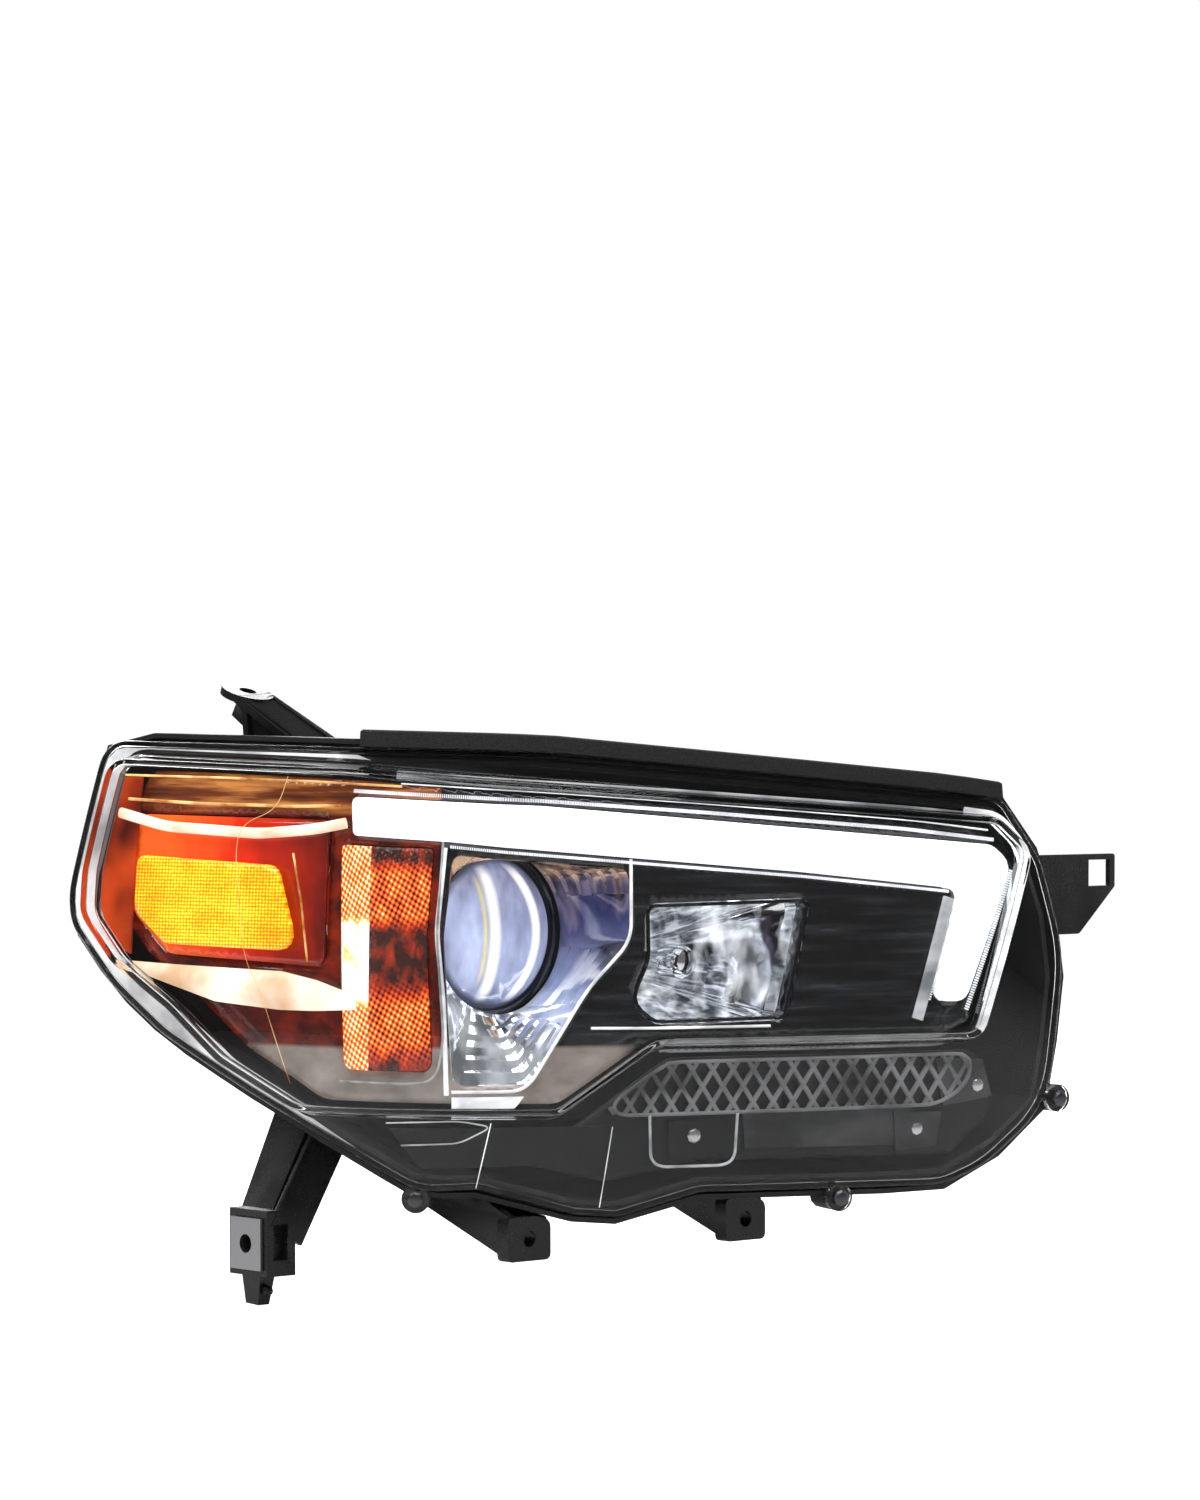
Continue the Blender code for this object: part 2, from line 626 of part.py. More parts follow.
PROJECTOR_X = float(np.interp(PROJECTOR_S, PLAN_S, PLAN_X))
RIM_Y = float(np.interp(PROJECTOR_S, PLAN_S, PLAN_Y)) + PROJECTOR_SETBACK
CARRIER_Y = RIM_Y + CARRIER_SETBACK
CARRIER_BACK = CARRIER_Y + CARRIER_WALL
RING_RADIUS = GLASS_RADIUS + GAP + RING_WALL
SHROUD_FOOT_Y = RIM_Y - RING_NOSE - SHROUD_PLAY
PROJECTOR = np.array([PROJECTOR_X, 0.0, PROJECTOR_Z])
HIGH_BEAM = np.array([PROJECTOR_X + HIGH_BEAM_X_FROM_PROJECTOR, 0.0, HIGH_BEAM_Z])
AIM_X = PROJECTOR_X + AIM_X_FROM_PROJECTOR
PIVOT_Y = CARRIER_BACK + GAP + BALL_RADIUS
PIVOT_XS = (PROJECTOR_X - PIVOT_OUTBOARD, PROJECTOR_X + PIVOT_INBOARD)


def rear_plane(x, reach):
    """Y just behind the rear wall everywhere within reach of x."""
    return max(rear_y(x - reach), rear_y(x + reach)) + 3.0


LOW_CAP_Y = rear_plane(PROJECTOR_X, LOW_CAP_RADIUS)
HIGH_CAP_Y = rear_plane(HIGH_BEAM[0], HIGH_CAP_RADIUS)
TURN_BULB_X = PROJECTOR_X - LOW_CAP_RADIUS - COLLAR_WALL - SOCKET_BORE - COLLAR_WALL - 4.5
TURN_SOCKET_Y = rear_plane(TURN_BULB_X, SOCKET_BORE + 5.0)
SIDE_BULB_Y = float(np.interp(FLANGE_CORNERS[-1][0], PLAN_S, PLAN_Y)) - SIDE_BULB_Y_BACK
SIDE_SOCKET_X = rear_x(SIDE_BULB_Y - SOCKET_BORE) + 5.0
VENTS = ((PROJECTOR_X + 52.0, 218.0), (PROJECTOR_X - 22.0, 112.0))       # x, z on the rear wall


# ================================================================ lens and housing
def flange_ring(growth, depth):
    loop = grow(FLANGE_LOOP, growth)
    return surface(loop[:, 0], loop[:, 1], depth)


def face_ring(growth, depth):
    loop = grow(FACE_LOOP, growth)
    return surface(loop[:, 0], loop[:, 1], depth)


def normal_at(s):
    return inward(np.array(s, float))


def lens_mesh():
    """Raised face, step, flange and rim as one clear shell."""
    made = Builder()
    wall = LENS_WALL
    head = grow(FACE_LOOP, -EDGE_ROUND)
    inner_head = grow(FACE_LOOP, -wall)
    made.fill(head, lambda p: surface(p[:, 0], p[:, 1], 0.0), (20.0, 30.0))
    made.loft([
        surface(head[:, 0], head[:, 1], 0.0), face_ring(0.0, EDGE_ROUND),
        face_ring(STEP_DRAFT, FLANGE_DEPTH), flange_ring(-EDGE_ROUND, FLANGE_DEPTH),
        flange_ring(0.0, FLANGE_DEPTH + EDGE_ROUND), flange_ring(0.0, RIM_END_DEPTH),
        flange_ring(-wall, RIM_END_DEPTH), flange_ring(-wall, FLANGE_DEPTH + wall),
        face_ring(STEP_DRAFT - wall, FLANGE_DEPTH + wall), face_ring(-wall, wall)])
    made.fill(inner_head, lambda p: surface(p[:, 0], p[:, 1], wall), (20.0, 30.0))
    lugs, bores = [], []
    for s, z in LENS_SCREWS:
        top = surface(s, z, FLANGE_DEPTH - PAD_RISE)
        along = normal_at(s)
        lugs.append(rod(LUG_RADIUS, top, top + along * (wall + 2 * PAD_RISE), SMALL_FACETS))
        bores.append(rod(SCREW_BORE, top - along * 5, top + along * 12, TINY_FACETS))
    return combined(made.mesh(), lugs, bores)


def envelope(growth):
    """Solid outer shape of the housing, grown by the given clearance."""
    made = Builder()
    front = grow(FLANGE_LOOP, CHANNEL_PLAY + CHANNEL_WALL + growth)
    back = grow(FLANGE_LOOP, growth - 10.0)
    made.fill(front, lambda p: surface(p[:, 0], p[:, 1], CHANNEL_DEPTH - growth), (30.0, 40.0))
    made.loft(outer_rings(growth))
    made.fill(back, lambda p: rear(p[:, 0], p[:, 1]) + BACKWARD * growth, (40.0, 45.0))
    return made.mesh()


def shell_ring(growth, share, shift=0.0):
    loop = grow(FLANGE_LOOP, growth)
    return body_point(loop[:, 0], loop[:, 1], share) + BACKWARD * shift


def outer_rings(growth=0.0):
    lip = CHANNEL_PLAY + CHANNEL_WALL + growth
    return [flange_ring(lip, CHANNEL_DEPTH - growth), flange_ring(lip, BODY_START),
            shell_ring(1.0 + growth, 0.5), shell_ring(growth - 2.0, 0.9),
            shell_ring(growth - 10.0, 1.0, growth)]


def collar(x, z, y, radius, depth):
    """Solid boss that a cap or socket closes; its bore is cut afterwards."""
    return rod(radius + COLLAR_WALL, (x, y - depth, z), (x, y, z), FACETS)


def housing_mesh():
    """Open tray with a glue channel round its mouth, collars, lugs and holes behind."""
    inner = CHANNEL_PLAY + LENS_WALL + CHANNEL_WALL + 0.5
    wall = HOUSING_WALL
    made = Builder()
    back = grow(FLANGE_LOOP, -10.0)
    inner_back = grow(FLANGE_LOOP, -10.0 - wall)
    made.fill(back, lambda p: rear(p[:, 0], p[:, 1]), (40.0, 45.0))
    made.loft(outer_rings()[::-1] + [
        flange_ring(-inner, CHANNEL_DEPTH), flange_ring(-inner, BODY_START),
        shell_ring(1.0 - wall * 1.5, 0.5), shell_ring(-2.0 - wall * 1.3, 0.87),
        shell_ring(-10.0 - wall, 1.0, -wall)])
    made.fill(inner_back, lambda p: rear(p[:, 0], p[:, 1]) - BACKWARD * wall, (40.0, 45.0))
    low_z, high_z = PROJECTOR_Z, HIGH_BEAM_Z
    joined = [collar(PROJECTOR_X, low_z, LOW_CAP_Y, LOW_CAP_RADIUS, COLLAR_DEPTH),
              collar(HIGH_BEAM[0], high_z, HIGH_CAP_Y, HIGH_CAP_RADIUS, COLLAR_DEPTH),
              collar(TURN_BULB_X, TURN_BULB_Z, TURN_SOCKET_Y, SOCKET_BORE, COLLAR_DEPTH),
              rod(SOCKET_BORE + COLLAR_WALL, (SIDE_SOCKET_X - SIDE_COLLAR_DEPTH, SIDE_BULB_Y, SIDE_BULB_Z),
                  (SIDE_SOCKET_X, SIDE_BULB_Y, SIDE_BULB_Z), FACETS)]
    cut = [rod(LOW_CAP_RADIUS, (PROJECTOR_X, LOW_CAP_Y - 60, low_z),
               (PROJECTOR_X, LOW_CAP_Y + 5, low_z), FACETS),
           rod(HIGH_CAP_RADIUS, (HIGH_BEAM[0], HIGH_CAP_Y - 60, high_z),
               (HIGH_BEAM[0], HIGH_CAP_Y + 5, high_z), FACETS),
           rod(SOCKET_BORE, (TURN_BULB_X, TURN_SOCKET_Y - 40, TURN_BULB_Z),
               (TURN_BULB_X, TURN_SOCKET_Y + 5, TURN_BULB_Z), FACETS),
           rod(SOCKET_BORE, (SIDE_SOCKET_X - 32, SIDE_BULB_Y, SIDE_BULB_Z),
               (SIDE_SOCKET_X + 5, SIDE_BULB_Y, SIDE_BULB_Z), FACETS)]
    for x in PIVOT_XS:
        seat = rear_plane(x, BOSS_RADIUS)
        joined.append(rod(BOSS_RADIUS, (x, seat - 20, PIVOT_Z), (x, seat, PIVOT_Z)))
        cut.append(rod(STUD_RADIUS + GAP, (x, seat - 35, PIVOT_Z), (x, seat + 5, PIVOT_Z)))
    seat = rear_plane(AIM_X, BOSS_RADIUS)
    joined.append(rod(BOSS_RADIUS, (AIM_X, seat - 18, AIM_Z), (AIM_X, seat, AIM_Z)))
    cut.append(rod(STUD_RADIUS + GAP, (AIM_X, seat - 35, AIM_Z), (AIM_X, seat + 5, AIM_Z)))
    for x, z in VENTS:
        wall_y = rear_y(x)
        joined.append(rod(VENT_RADIUS + 1.5, (x, wall_y - 8, z), (x, wall_y + 9, z)))
        cut.append(rod(VENT_RADIUS - 2.0, (x, wall_y - 20, z), (x, wall_y + 20, z)))
    for s, z in LENS_SCREWS:
        top = surface(s, z, FLANGE_DEPTH + LENS_WALL + PAD_RISE + GAP)
        along = normal_at(s)
        joined.append(rod(LUG_RADIUS, top, top + along * 17, SMALL_FACETS))
        cut.append(rod(SCREW_BORE, top - along * 3, top + along * 10, TINY_FACETS))
    groove = Builder()
    groove.loft([flange_ring(CHANNEL_PLAY, CHANNEL_DEPTH - 8), flange_ring(CHANNEL_PLAY, CHANNEL_FLOOR),
                 flange_ring(CHANNEL_WALL - inner, CHANNEL_FLOOR),
                 flange_ring(CHANNEL_WALL - inner, CHANNEL_DEPTH - 8)], closed=True)
    cut.append(groove.mesh())
    return combined(made.mesh(), joined, cut)


def sealant_mesh():
    """Bead of butyl on the channel's floor, under the lens's rim."""
    low, high = RIM_END_DEPTH + GAP, CHANNEL_FLOOR - GAP
    out, within = CHANNEL_PLAY - GAP, GAP - CHANNEL_PLAY - LENS_WALL + 0.5
    made = Builder()
    made.loft([flange_ring(out, low), flange_ring(out, high),
               flange_ring(within, high), flange_ring(within, low)], closed=True)
    return made.mesh()


def top_edge(first, last, count):
    """Places along the flange's top edge between two values of s."""
    s = np.linspace(first, last, count)
    loop = FLANGE_LOOP[:SECTION_COUNTS[0] + 1]
    order = np.argsort(loop[:, 0])
    return s, np.interp(s, loop[order, 0], loop[order, 1])


def hood_seal_mesh():
    """Foam strip along the lens's top edge."""
    s, z = top_edge(*SEAL_SPAN, 20)
    lift = CHANNEL_PLAY + CHANNEL_WALL + GAP
    made = Builder()
    corners = [(GAP + lift, SEAL_BACK), (SEAL_HEIGHT, SEAL_BACK), (SEAL_HEIGHT + 0.8, SEAL_FRONT + 3),
               (SEAL_HEIGHT, SEAL_FRONT), (GAP, SEAL_FRONT), (GAP, CHANNEL_DEPTH - GAP - 0.5),
               (GAP + lift, CHANNEL_DEPTH - GAP - 0.5)]
    rings = [np.array([surface(si, zi + up, depth) for up, depth in corners]) for si, zi in zip(s, z)]
    made.loft(rings)
    made.add(rings[0], [tuple(range(len(corners)))])
    made.add(rings[-1], [tuple(range(len(corners)))[::-1]])
    return made.mesh()


def screw_mesh(top, along):
    """Pan-head screw: head above the seat, shank into its bore."""
    profile = [(0, -3.2), (SCREW_HEAD * 0.7, -3.0), (SCREW_HEAD, -1.6), (SCREW_HEAD, -GAP),
               (SCREW_SHANK, -GAP), (SCREW_SHANK, 9.0), (0, 9.0)]
    return turned(profile, top, along, TINY_FACETS)


# ================================================================ inner trim
def closed_outline(corners, growth=0.0):
    points, _ = rounded(corners)
    return grow(points, growth) if growth else points


def fine(loop, step=24.0):
    """Outline with points added so that no side is longer than step."""
    out = []
    for a, b in zip(loop, np.roll(loop, -1, 0)):
        count = max(1, math.ceil(float(np.linalg.norm(b - a)) / step))
        out += [a + (b - a) * k / count for k in range(count)]
    return np.array(out)


def bezel_mesh():
    """Dark trim plate behind the raised face, with an opening for every lamp."""
    outer = fine(closed_outline(BEZEL_CORNERS))
    holes = [fine(closed_outline(DRL_CORNERS, TRIM_PLAY)), fine(closed_outline(PROJECTOR_OPENING)),
             fine(closed_outline(HIGH_BEAM_OPENING)), fine(closed_outline(TURN_OPENING)),
             fine(closed_outline(SIDE_OPENING))]
    return curved_panel([outer, *holes], BEZEL_DEPTH, BEZEL_WALL, (34.0, 40.0))


def seen_from_axis(corners, depth, centre, count):
    """Opening outline in space, sampled at equal angles about an axis along Y."""
    loop = fine(closed_outline(corners, -TRIM_PLAY), 3.0)
    points = surface(loop[:, 0], loop[:, 1], depth)
    angle = np.arctan2(points[:, 2] - centre[2], points[:, 0] - centre[0])
    order = np.argsort(angle)
    wanted = np.linspace(-math.pi, math.pi, count, endpoint=False)
    return np.stack([np.interp(wanted, angle[order], points[order, i], period=2 * math.pi)
                     for i in range(3)], -1), wanted


def spread(ring, centre, distance):
    """Ring moved away from an axis along Y."""
    away = ring - np.asarray(centre)
    away[:, 1] = 0.0
    away /= np.linalg.norm(away, axis=1)[:, None]
    return ring + away * distance


def projector_shroud_mesh():
    """Funnel from the bezel's opening down to the ring round the projector."""
    mouth, angle = seen_from_axis(PROJECTOR_OPENING, BEZEL_DEPTH + BEZEL_WALL + 1.2, PROJECTOR, 30)
    foot = np.stack([PROJECTOR[0] + SHROUD_FOOT * np.cos(angle), np.full_like(angle, SHROUD_FOOT_Y),
                     PROJECTOR[2] + SHROUD_FOOT * np.sin(angle)], -1)
    middle = mouth * 0.5 + foot * 0.5
    inner = [mouth, middle, foot]
    outer = [spread(r, PROJECTOR, SHROUD_WALL) for r in inner]
    made = Builder()
    made.loft(inner + outer[::-1], closed=True)
    return made.mesh()


def high_beam_surround_mesh():
    """Short wall behind the bezel's high-beam opening."""
    loop = fine(closed_outline(HIGH_BEAM_OPENING, -TRIM_PLAY))
    outer = fine(closed_outline(HIGH_BEAM_OPENING, -TRIM_PLAY - SHROUD_WALL))
    made = Builder()
    back = HIGH_BEAM_RIM_DEPTH - 4.0
    made.loft([surface(*loop.T, BEZEL_DEPTH + 0.5), surface(*loop.T, back),
               surface(*outer.T, back), surface(*outer.T, BEZEL_DEPTH + 0.5)], closed=True)
    return made.mesh()


def drl_meshes():
    """Light guide, the channel it lies in and its board."""
    guide = curved_panel([fine(closed_outline(DRL_CORNERS))], DRL_FRONT, DRL_THICK)
    back = DRL_FRONT + DRL_THICK + GAP
    channel = curved_panel([fine(closed_outline(DRL_CORNERS, -0.5))], back, 4.0)
    board = curved_panel([fine(closed_outline(DRL_CORNERS, -2.5))], back + 4.0 + GAP, 1.6)
    return guide, channel, board


def grille_mesh():
    """Diamond lattice inside a frame."""
    outline = fine(closed_outline(GRILLE_CORNERS))
    inner = closed_outline(GRILLE_CORNERS, -GRILLE_BAR)
    half_u = GRILLE_PITCH / 2 - GRILLE_BAR * 0.62
    half_v = GRILLE_ROW / 2 - GRILLE_BAR * 0.62
    holes = []
    low, high = inner.min(0), inner.max(0)
    rows = math.ceil((high[1] - low[1]) / (GRILLE_ROW / 2)) + 1
    columns = math.ceil((high[0] - low[0]) / GRILLE_PITCH) + 1
    for row in range(rows):
        v = low[1] + (row + 0.5) * GRILLE_ROW / 2
        for column in range(columns):
            u = low[0] + (column + 0.5 * (row % 2)) * GRILLE_PITCH
            hole = np.array([(u + half_u, v), (u, v + half_v), (u - half_u, v), (u, v - half_v)])
            if inside(hole, [inner]).all():
                holes.append(hole)
    return curved_panel([outline, *holes], GRILLE_FRONT, GRILLE_THICK)


def lower_trim_mesh():
    """Black panel behind the flange, with the screw bores."""
    bores = [circle(SCREW_BORE, 10, at) for at in TRIM_SCREWS]
    outline = fine(closed_outline(LOWER_TRIM_CORNERS))
    return curved_panel([outline, *bores], LOWER_TRIM_DEPTH, LOWER_TRIM_WALL, (26.0, 30.0))


def turn_depth(s):
    """Depth of the turn lens's front: an upright ridge at TURN_RIDGE_S."""
    low, high = TURN_OPENING[1][0], TURN_OPENING[0][0]
    return np.interp(s, (low, TURN_RIDGE_S, high), (BEZEL_DEPTH, BEZEL_DEPTH - TURN_RIDGE, BEZEL_DEPTH))


def turn_lens_mesh():
    outline = fine(closed_outline(TURN_OPENING, -TRIM_PLAY), 8.0)
    return panel([outline],
                 lambda p: surface(p[:, 0], p[:, 1], turn_depth(p[:, 0])),
                 lambda p: surface(p[:, 0], p[:, 1], turn_depth(p[:, 0]) + AMBER_WALL), (7.0, 24.0))


def bucket(mouth, centre, radius, y, wall, count, bulge=0.55):
    """Bowl from a mouth ring back to a round hole at y; centre is (x, z)."""
    angle = np.linspace(-math.pi, math.pi, count, endpoint=False)
    x, z = centre

    def hole(size, at):
        return np.stack([x + size * np.cos(angle), np.full_like(angle, at), z + size * np.sin(angle)], -1)

    back = hole(radius, y)
    between = mouth + (back - mouth) * np.array([0.30, bulge, 0.30])
    near = mouth + (back - mouth) * np.array([0.66, 0.88, 0.66])
    inner = [mouth, between, near, back]
    axis = (x, 0.0, z)
    outer = [spread(r, axis, wall) for r in inner]
    outer[-1] = spread(back, axis, wall) + BACKWARD * wall
    inner[-1] = back
    made = Builder()
    made.loft(inner + [hole(radius, y + wall)] + outer[::-1], closed=True)
    return made.mesh()


def turn_reflector_mesh():
    centre = np.array([TURN_BULB_X, 0.0, (TURN_OPENING[0][1] + TURN_OPENING[3][1]) / 2])
    mouth, _ = seen_from_axis(TURN_OPENING, BEZEL_DEPTH + BEZEL_WALL + 1.0, centre, 22)
    return bucket(spread(mouth, centre, -3.0), (TURN_BULB_X, TURN_BULB_Z), 10.0,
                  TURN_SOCKET_Y - 56.0, REFLECTOR_WALL, 22)


def side_reflector_mesh():
    """Shallow bright tray behind the side marker's lens; it ends short of the bulb."""
    depth = BEZEL_DEPTH + BEZEL_WALL + 2.0
    outline = fine(closed_outline(SIDE_TRAY), 14.0)
    centre = outline.mean(0)

    def bowl(points, extra):
        away = np.linalg.norm((points - centre) / np.array([75.0, 40.0]), axis=1)
        return surface(points[:, 0], points[:, 1], depth + extra + 13.0 * np.clip(1 - away ** 2, 0, 1))

    return panel([outline], lambda p: bowl(p, 0.0), lambda p: bowl(p, REFLECTOR_WALL), (16.0, 16.0))


# ================================================================ optics on the carrier
def carrier_mesh():
    """Plate that the projector and the high-beam reflector are fixed to."""
    left, right = PIVOT_XS[0] - 14.0, PIVOT_XS[1] + 9.0
    corners = ((left, PIVOT_Z + 9, 6), (right, PIVOT_Z + 9, 6), (right, HIGH_BEAM_Z - 30, 8),
               (AIM_X + 14, AIM_Z - 9, 8), (AIM_X - 14, AIM_Z - 9, 8), (left, PROJECTOR_Z - 50, 8))
    outline, _ = rounded(corners)
    holes = [circle(REFLECTOR_MOUTH - 2.0, FACETS, (PROJECTOR_X, PROJECTOR_Z)),
             circle(HIGH_BULB_BASE + 4.0, SMALL_FACETS, (HIGH_BEAM[0], HIGH_BEAM_Z)),
             circle(STUD_RADIUS + 1.0, TINY_FACETS, (AIM_X, AIM_Z))]
    base = plate(outline, holes, (0, CARRIER_BACK, 0), INBOARD, UP, CARRIER_WALL)
    sockets, hollows = [], []
    for x in PIVOT_XS:
        at = np.array([x, PIVOT_Y, PIVOT_Z])
        sockets.append(turned([(0, -BALL_RADIUS - 2.5), (BALL_RADIUS + SOCKET_WALL, -BALL_RADIUS - 2.5),
                               (BALL_RADIUS + SOCKET_WALL, 2.5), (0, 2.5)], at, BACKWARD, SMALL_FACETS))
        hollows.append(ball(at, (BALL_RADIUS + GAP) / math.cos(math.pi / TINY_FACETS)))
        hollows.append(rod(BALL_RADIUS - 0.5, at, at + BACKWARD * 12))
    return combined(base, sockets, hollows)


def ball(centre, radius, count=TINY_FACETS):
    angle = np.linspace(-math.pi / 2, math.pi / 2, count // 2 + 1)
    return turned([(radius * math.cos(a), radius * math.sin(a)) for a in angle], centre, BACKWARD, count)


def pivot_stud_mesh(x):
    """Ball on a long shank that is fixed in the rear wall, with a collar outside."""
    angle = np.linspace(-math.pi / 2, math.radians(50), 6)
    neck = STUD_RADIUS - 0.3
    profile = [(BALL_RADIUS * math.cos(a), BALL_RADIUS * math.sin(a)) for a in angle]
    end = rear_plane(x, BOSS_RADIUS) + GAP - PIVOT_Y
    profile += [(neck, BALL_RADIUS * math.sin(angle[-1]) + 0.6), (neck, end), (6.0, end),
                (6.0, end + 3.0), (0.0, end + 3.0)]
    return turned(profile, (x, PIVOT_Y, PIVOT_Z), BACKWARD, TINY_FACETS)


def aim_meshes():
    """Ball nut behind the carrier's slot, and the screw that moves it from outside."""
    nut_y = CARRIER_BACK + AIM_TRAVEL + 2.0
    nut = turned([(STUD_RADIUS + GAP, 0), (7.5, 0), (9.0, 3.0), (9.0, 9.0), (7.5, 12.0),
                  (STUD_RADIUS + GAP, 12.0)], (AIM_X, nut_y, AIM_Z), BACKWARD, SMALL_FACETS, tube=True)
    end = rear_plane(AIM_X, BOSS_RADIUS) + GAP
    start = nut_y - 1.5
    neck = STUD_RADIUS - 0.1
    profile = [(0, 0), (neck - 0.6, 0), (neck, 0.8), (neck, end - start), (8.0, end - start),
               (8.0, end - start + 5.0), (5.0, end - start + 5.0), (5.0, end - start + 11.0),
               (0, end - start + 11.0)]
    screw = turned(profile, (AIM_X, start, AIM_Z), BACKWARD, TINY_FACETS)
    return nut, screw


def projector_meshes():
    """Glass, its ring, the cut-off shield and the bowl behind the carrier."""
    dome = [(GLASS_RADIUS * math.sin(a), -GLASS_DOME * math.cos(a)) for a in np.linspace(0, math.pi / 2, 7)]
    glass = turned([*dome, (GLASS_RADIUS, GLASS_EDGE), (0, GLASS_EDGE)],
                   (PROJECTOR_X, RIM_Y, PROJECTOR_Z), BACKWARD, 24)
    bore = GLASS_RADIUS + GAP
    lip = GLASS_RADIUS - RING_LIP
    back = CARRIER_SETBACK - GAP
    seat = GLASS_EDGE + GAP
    ring = turned([(bore, -3.0), (RING_RADIUS - 1.0, -RING_NOSE), (RING_RADIUS, -3.0), (RING_RADIUS, back),
                   (lip, back), (lip, seat), (bore, seat)],
                  (PROJECTOR_X, RIM_Y, PROJECTOR_Z), BACKWARD, 24, tube=True)
    arc = [(SHIELD_RADIUS * math.cos(a), SHIELD_RADIUS * math.sin(a))
           for a in np.linspace(math.pi, 2 * math.pi, 17)]
    half = np.array([*arc, (SHIELD_RADIUS * 0.6, 1.5), (-4.0, 1.5), (-9.0, 0.0)])
    hole = REFLECTOR_MOUTH - 2.0
    half *= (hole * math.cos(math.pi / FACETS) - GAP) / SHIELD_RADIUS
    shield = plate(half, [], (PROJECTOR_X, CARRIER_Y + 2.0, PROJECTOR_Z), INBOARD, UP, 1.2)
    start, depth, wall = CARRIER_BACK + GAP, REFLECTOR_LENGTH, REFLECTOR_WALL
    steps = np.linspace(0, math.acos((BULB_HOLE + 0.5) / REFLECTOR_MOUTH), 6)
    bowl = [(REFLECTOR_MOUTH * math.cos(a), depth * math.sin(a) / math.sin(steps[-1])) for a in steps]
    outside = [(r + wall, d + wall * 0.5) for r, d in bowl[::-1]]
    flange = [(REFLECTOR_MOUTH + wall, 2.5), (REFLECTOR_MOUTH + 3.5, 2.5), (REFLECTOR_MOUTH + 3.5, 0.0)]
    reflector = turned([*bowl, *outside[:-1], *flange],
                       (PROJECTOR_X, start, PROJECTOR_Z), BACKWARD, FACETS, tube=True)
    return glass, ring, shield, reflector


def bulb_mesh(centre, tip, shoulder, glass_radius, base_radius, plug):
    """Halogen bulb: glass capsule, metal base, plastic plug with its connector box."""
    x, z = centre
    length = shoulder - tip
    profile = [(0, 0), (glass_radius * 0.6, 0.8), (glass_radius, 3.5), (glass_radius, length - 6.0),
               (base_radius, length - 6.0), (base_radius, length), (base_radius + 5.0, length),
               (base_radius + 5.0, length + 3.0), (base_radius - 1.0, length + 3.0),
               (base_radius - 1.0, length + plug), (0, length + plug)]
    body = turned(profile, (x, tip, z), BACKWARD, SMALL_FACETS)
    end = shoulder + plug
    box = block((x - 7.0, end - 11.0, z - base_radius - 6.0), (x + 7.0, end - 1.0, z - 2.0))
    return combined(body, [box])


def high_beam_mouth(growth, depth):
    """Mouth of the high-beam reflector, sampled by angle about its axis."""
    loop = fine(closed_outline(HIGH_BEAM_OPENING, growth), 3.0)
    points = surface(loop[:, 0], loop[:, 1], depth)
    angle = np.arctan2(points[:, 2] - HIGH_BEAM_Z, points[:, 0] - HIGH_BEAM[0])
    order = np.argsort(angle)
    wanted = np.linspace(-math.pi, math.pi, HIGH_BEAM_SIDES, endpoint=False)
    return np.stack([np.interp(wanted, angle[order], points[order, i], period=2 * math.pi)
                     for i in range(3)], -1)


def high_beam_meshes():
    """Reflector bowl with a neck on the carrier, and the shield ahead of its bulb."""
    mouth = high_beam_mouth(HIGH_BEAM_LIP, HIGH_BEAM_RIM_DEPTH)
    hole_y = CARRIER_Y - 14.0
    bowl = bucket(mouth, (HIGH_BEAM[0], HIGH_BEAM_Z), HIGH_BULB_BASE + 1.0, hole_y,
                  REFLECTOR_WALL, HIGH_BEAM_SIDES, 0.62)
    neck = turned([(HIGH_BULB_BASE + 1.0, -1.0), (HIGH_BULB_BASE + 8.0, -1.0),
                   (HIGH_BULB_BASE + 8.0, 14.0 - GAP), (HIGH_BULB_BASE + 1.0, 14.0 - GAP)],
                  (HIGH_BEAM[0], hole_y, HIGH_BEAM_Z), BACKWARD, SMALL_FACETS, tube=True)
    reflector = combined(bowl, [neck])
    front = hole_y - 50.0
    profile = [(0, 0), (6.5, 1.5), (8.5, 5.0), (8.5, 16.0), (7.5, 16.0), (7.5, 5.5), (5.8, 3.0), (0, 1.6)]
    shield = turned(profile,
                    (HIGH_BEAM[0], front, HIGH_BEAM_Z), BACKWARD, SMALL_FACETS)
    legs = [rod(1.0, (HIGH_BEAM[0] + i * 8.0, front + 14.0, HIGH_BEAM_Z),
                (HIGH_BEAM[0] + i * 8.0, hole_y - 5.5, HIGH_BEAM_Z), 8) for i in (-1, 1)]
    return reflector, combined(shield, legs)


# ================================================================ service pieces
def cap_mesh(x, y, z, radius):
    """Round dust cap: a skirt inside its collar, a rim over it and a grip bar."""
    skirt = radius - GAP
    edge = radius + COLLAR_WALL
    profile = [(0, 5.0), (skirt * 0.7, 5.0), (skirt * 0.8, 2.0 + GAP), (edge, 2.0 + GAP), (edge, GAP),
               (skirt, GAP), (skirt, -8.0), (skirt - CAP_WALL, -8.0), (skirt - CAP_WALL, GAP),
               (skirt * 0.75, GAP), (skirt * 0.65, 3.0), (0, 3.0)]
    body = turned(profile, (x, y, z), BACKWARD)
    grip = block((x - radius * 0.6, y + 4.0, z - 3.0), (x + radius * 0.6, y + 13.0, z + 3.0))
    return combined(body, [grip])


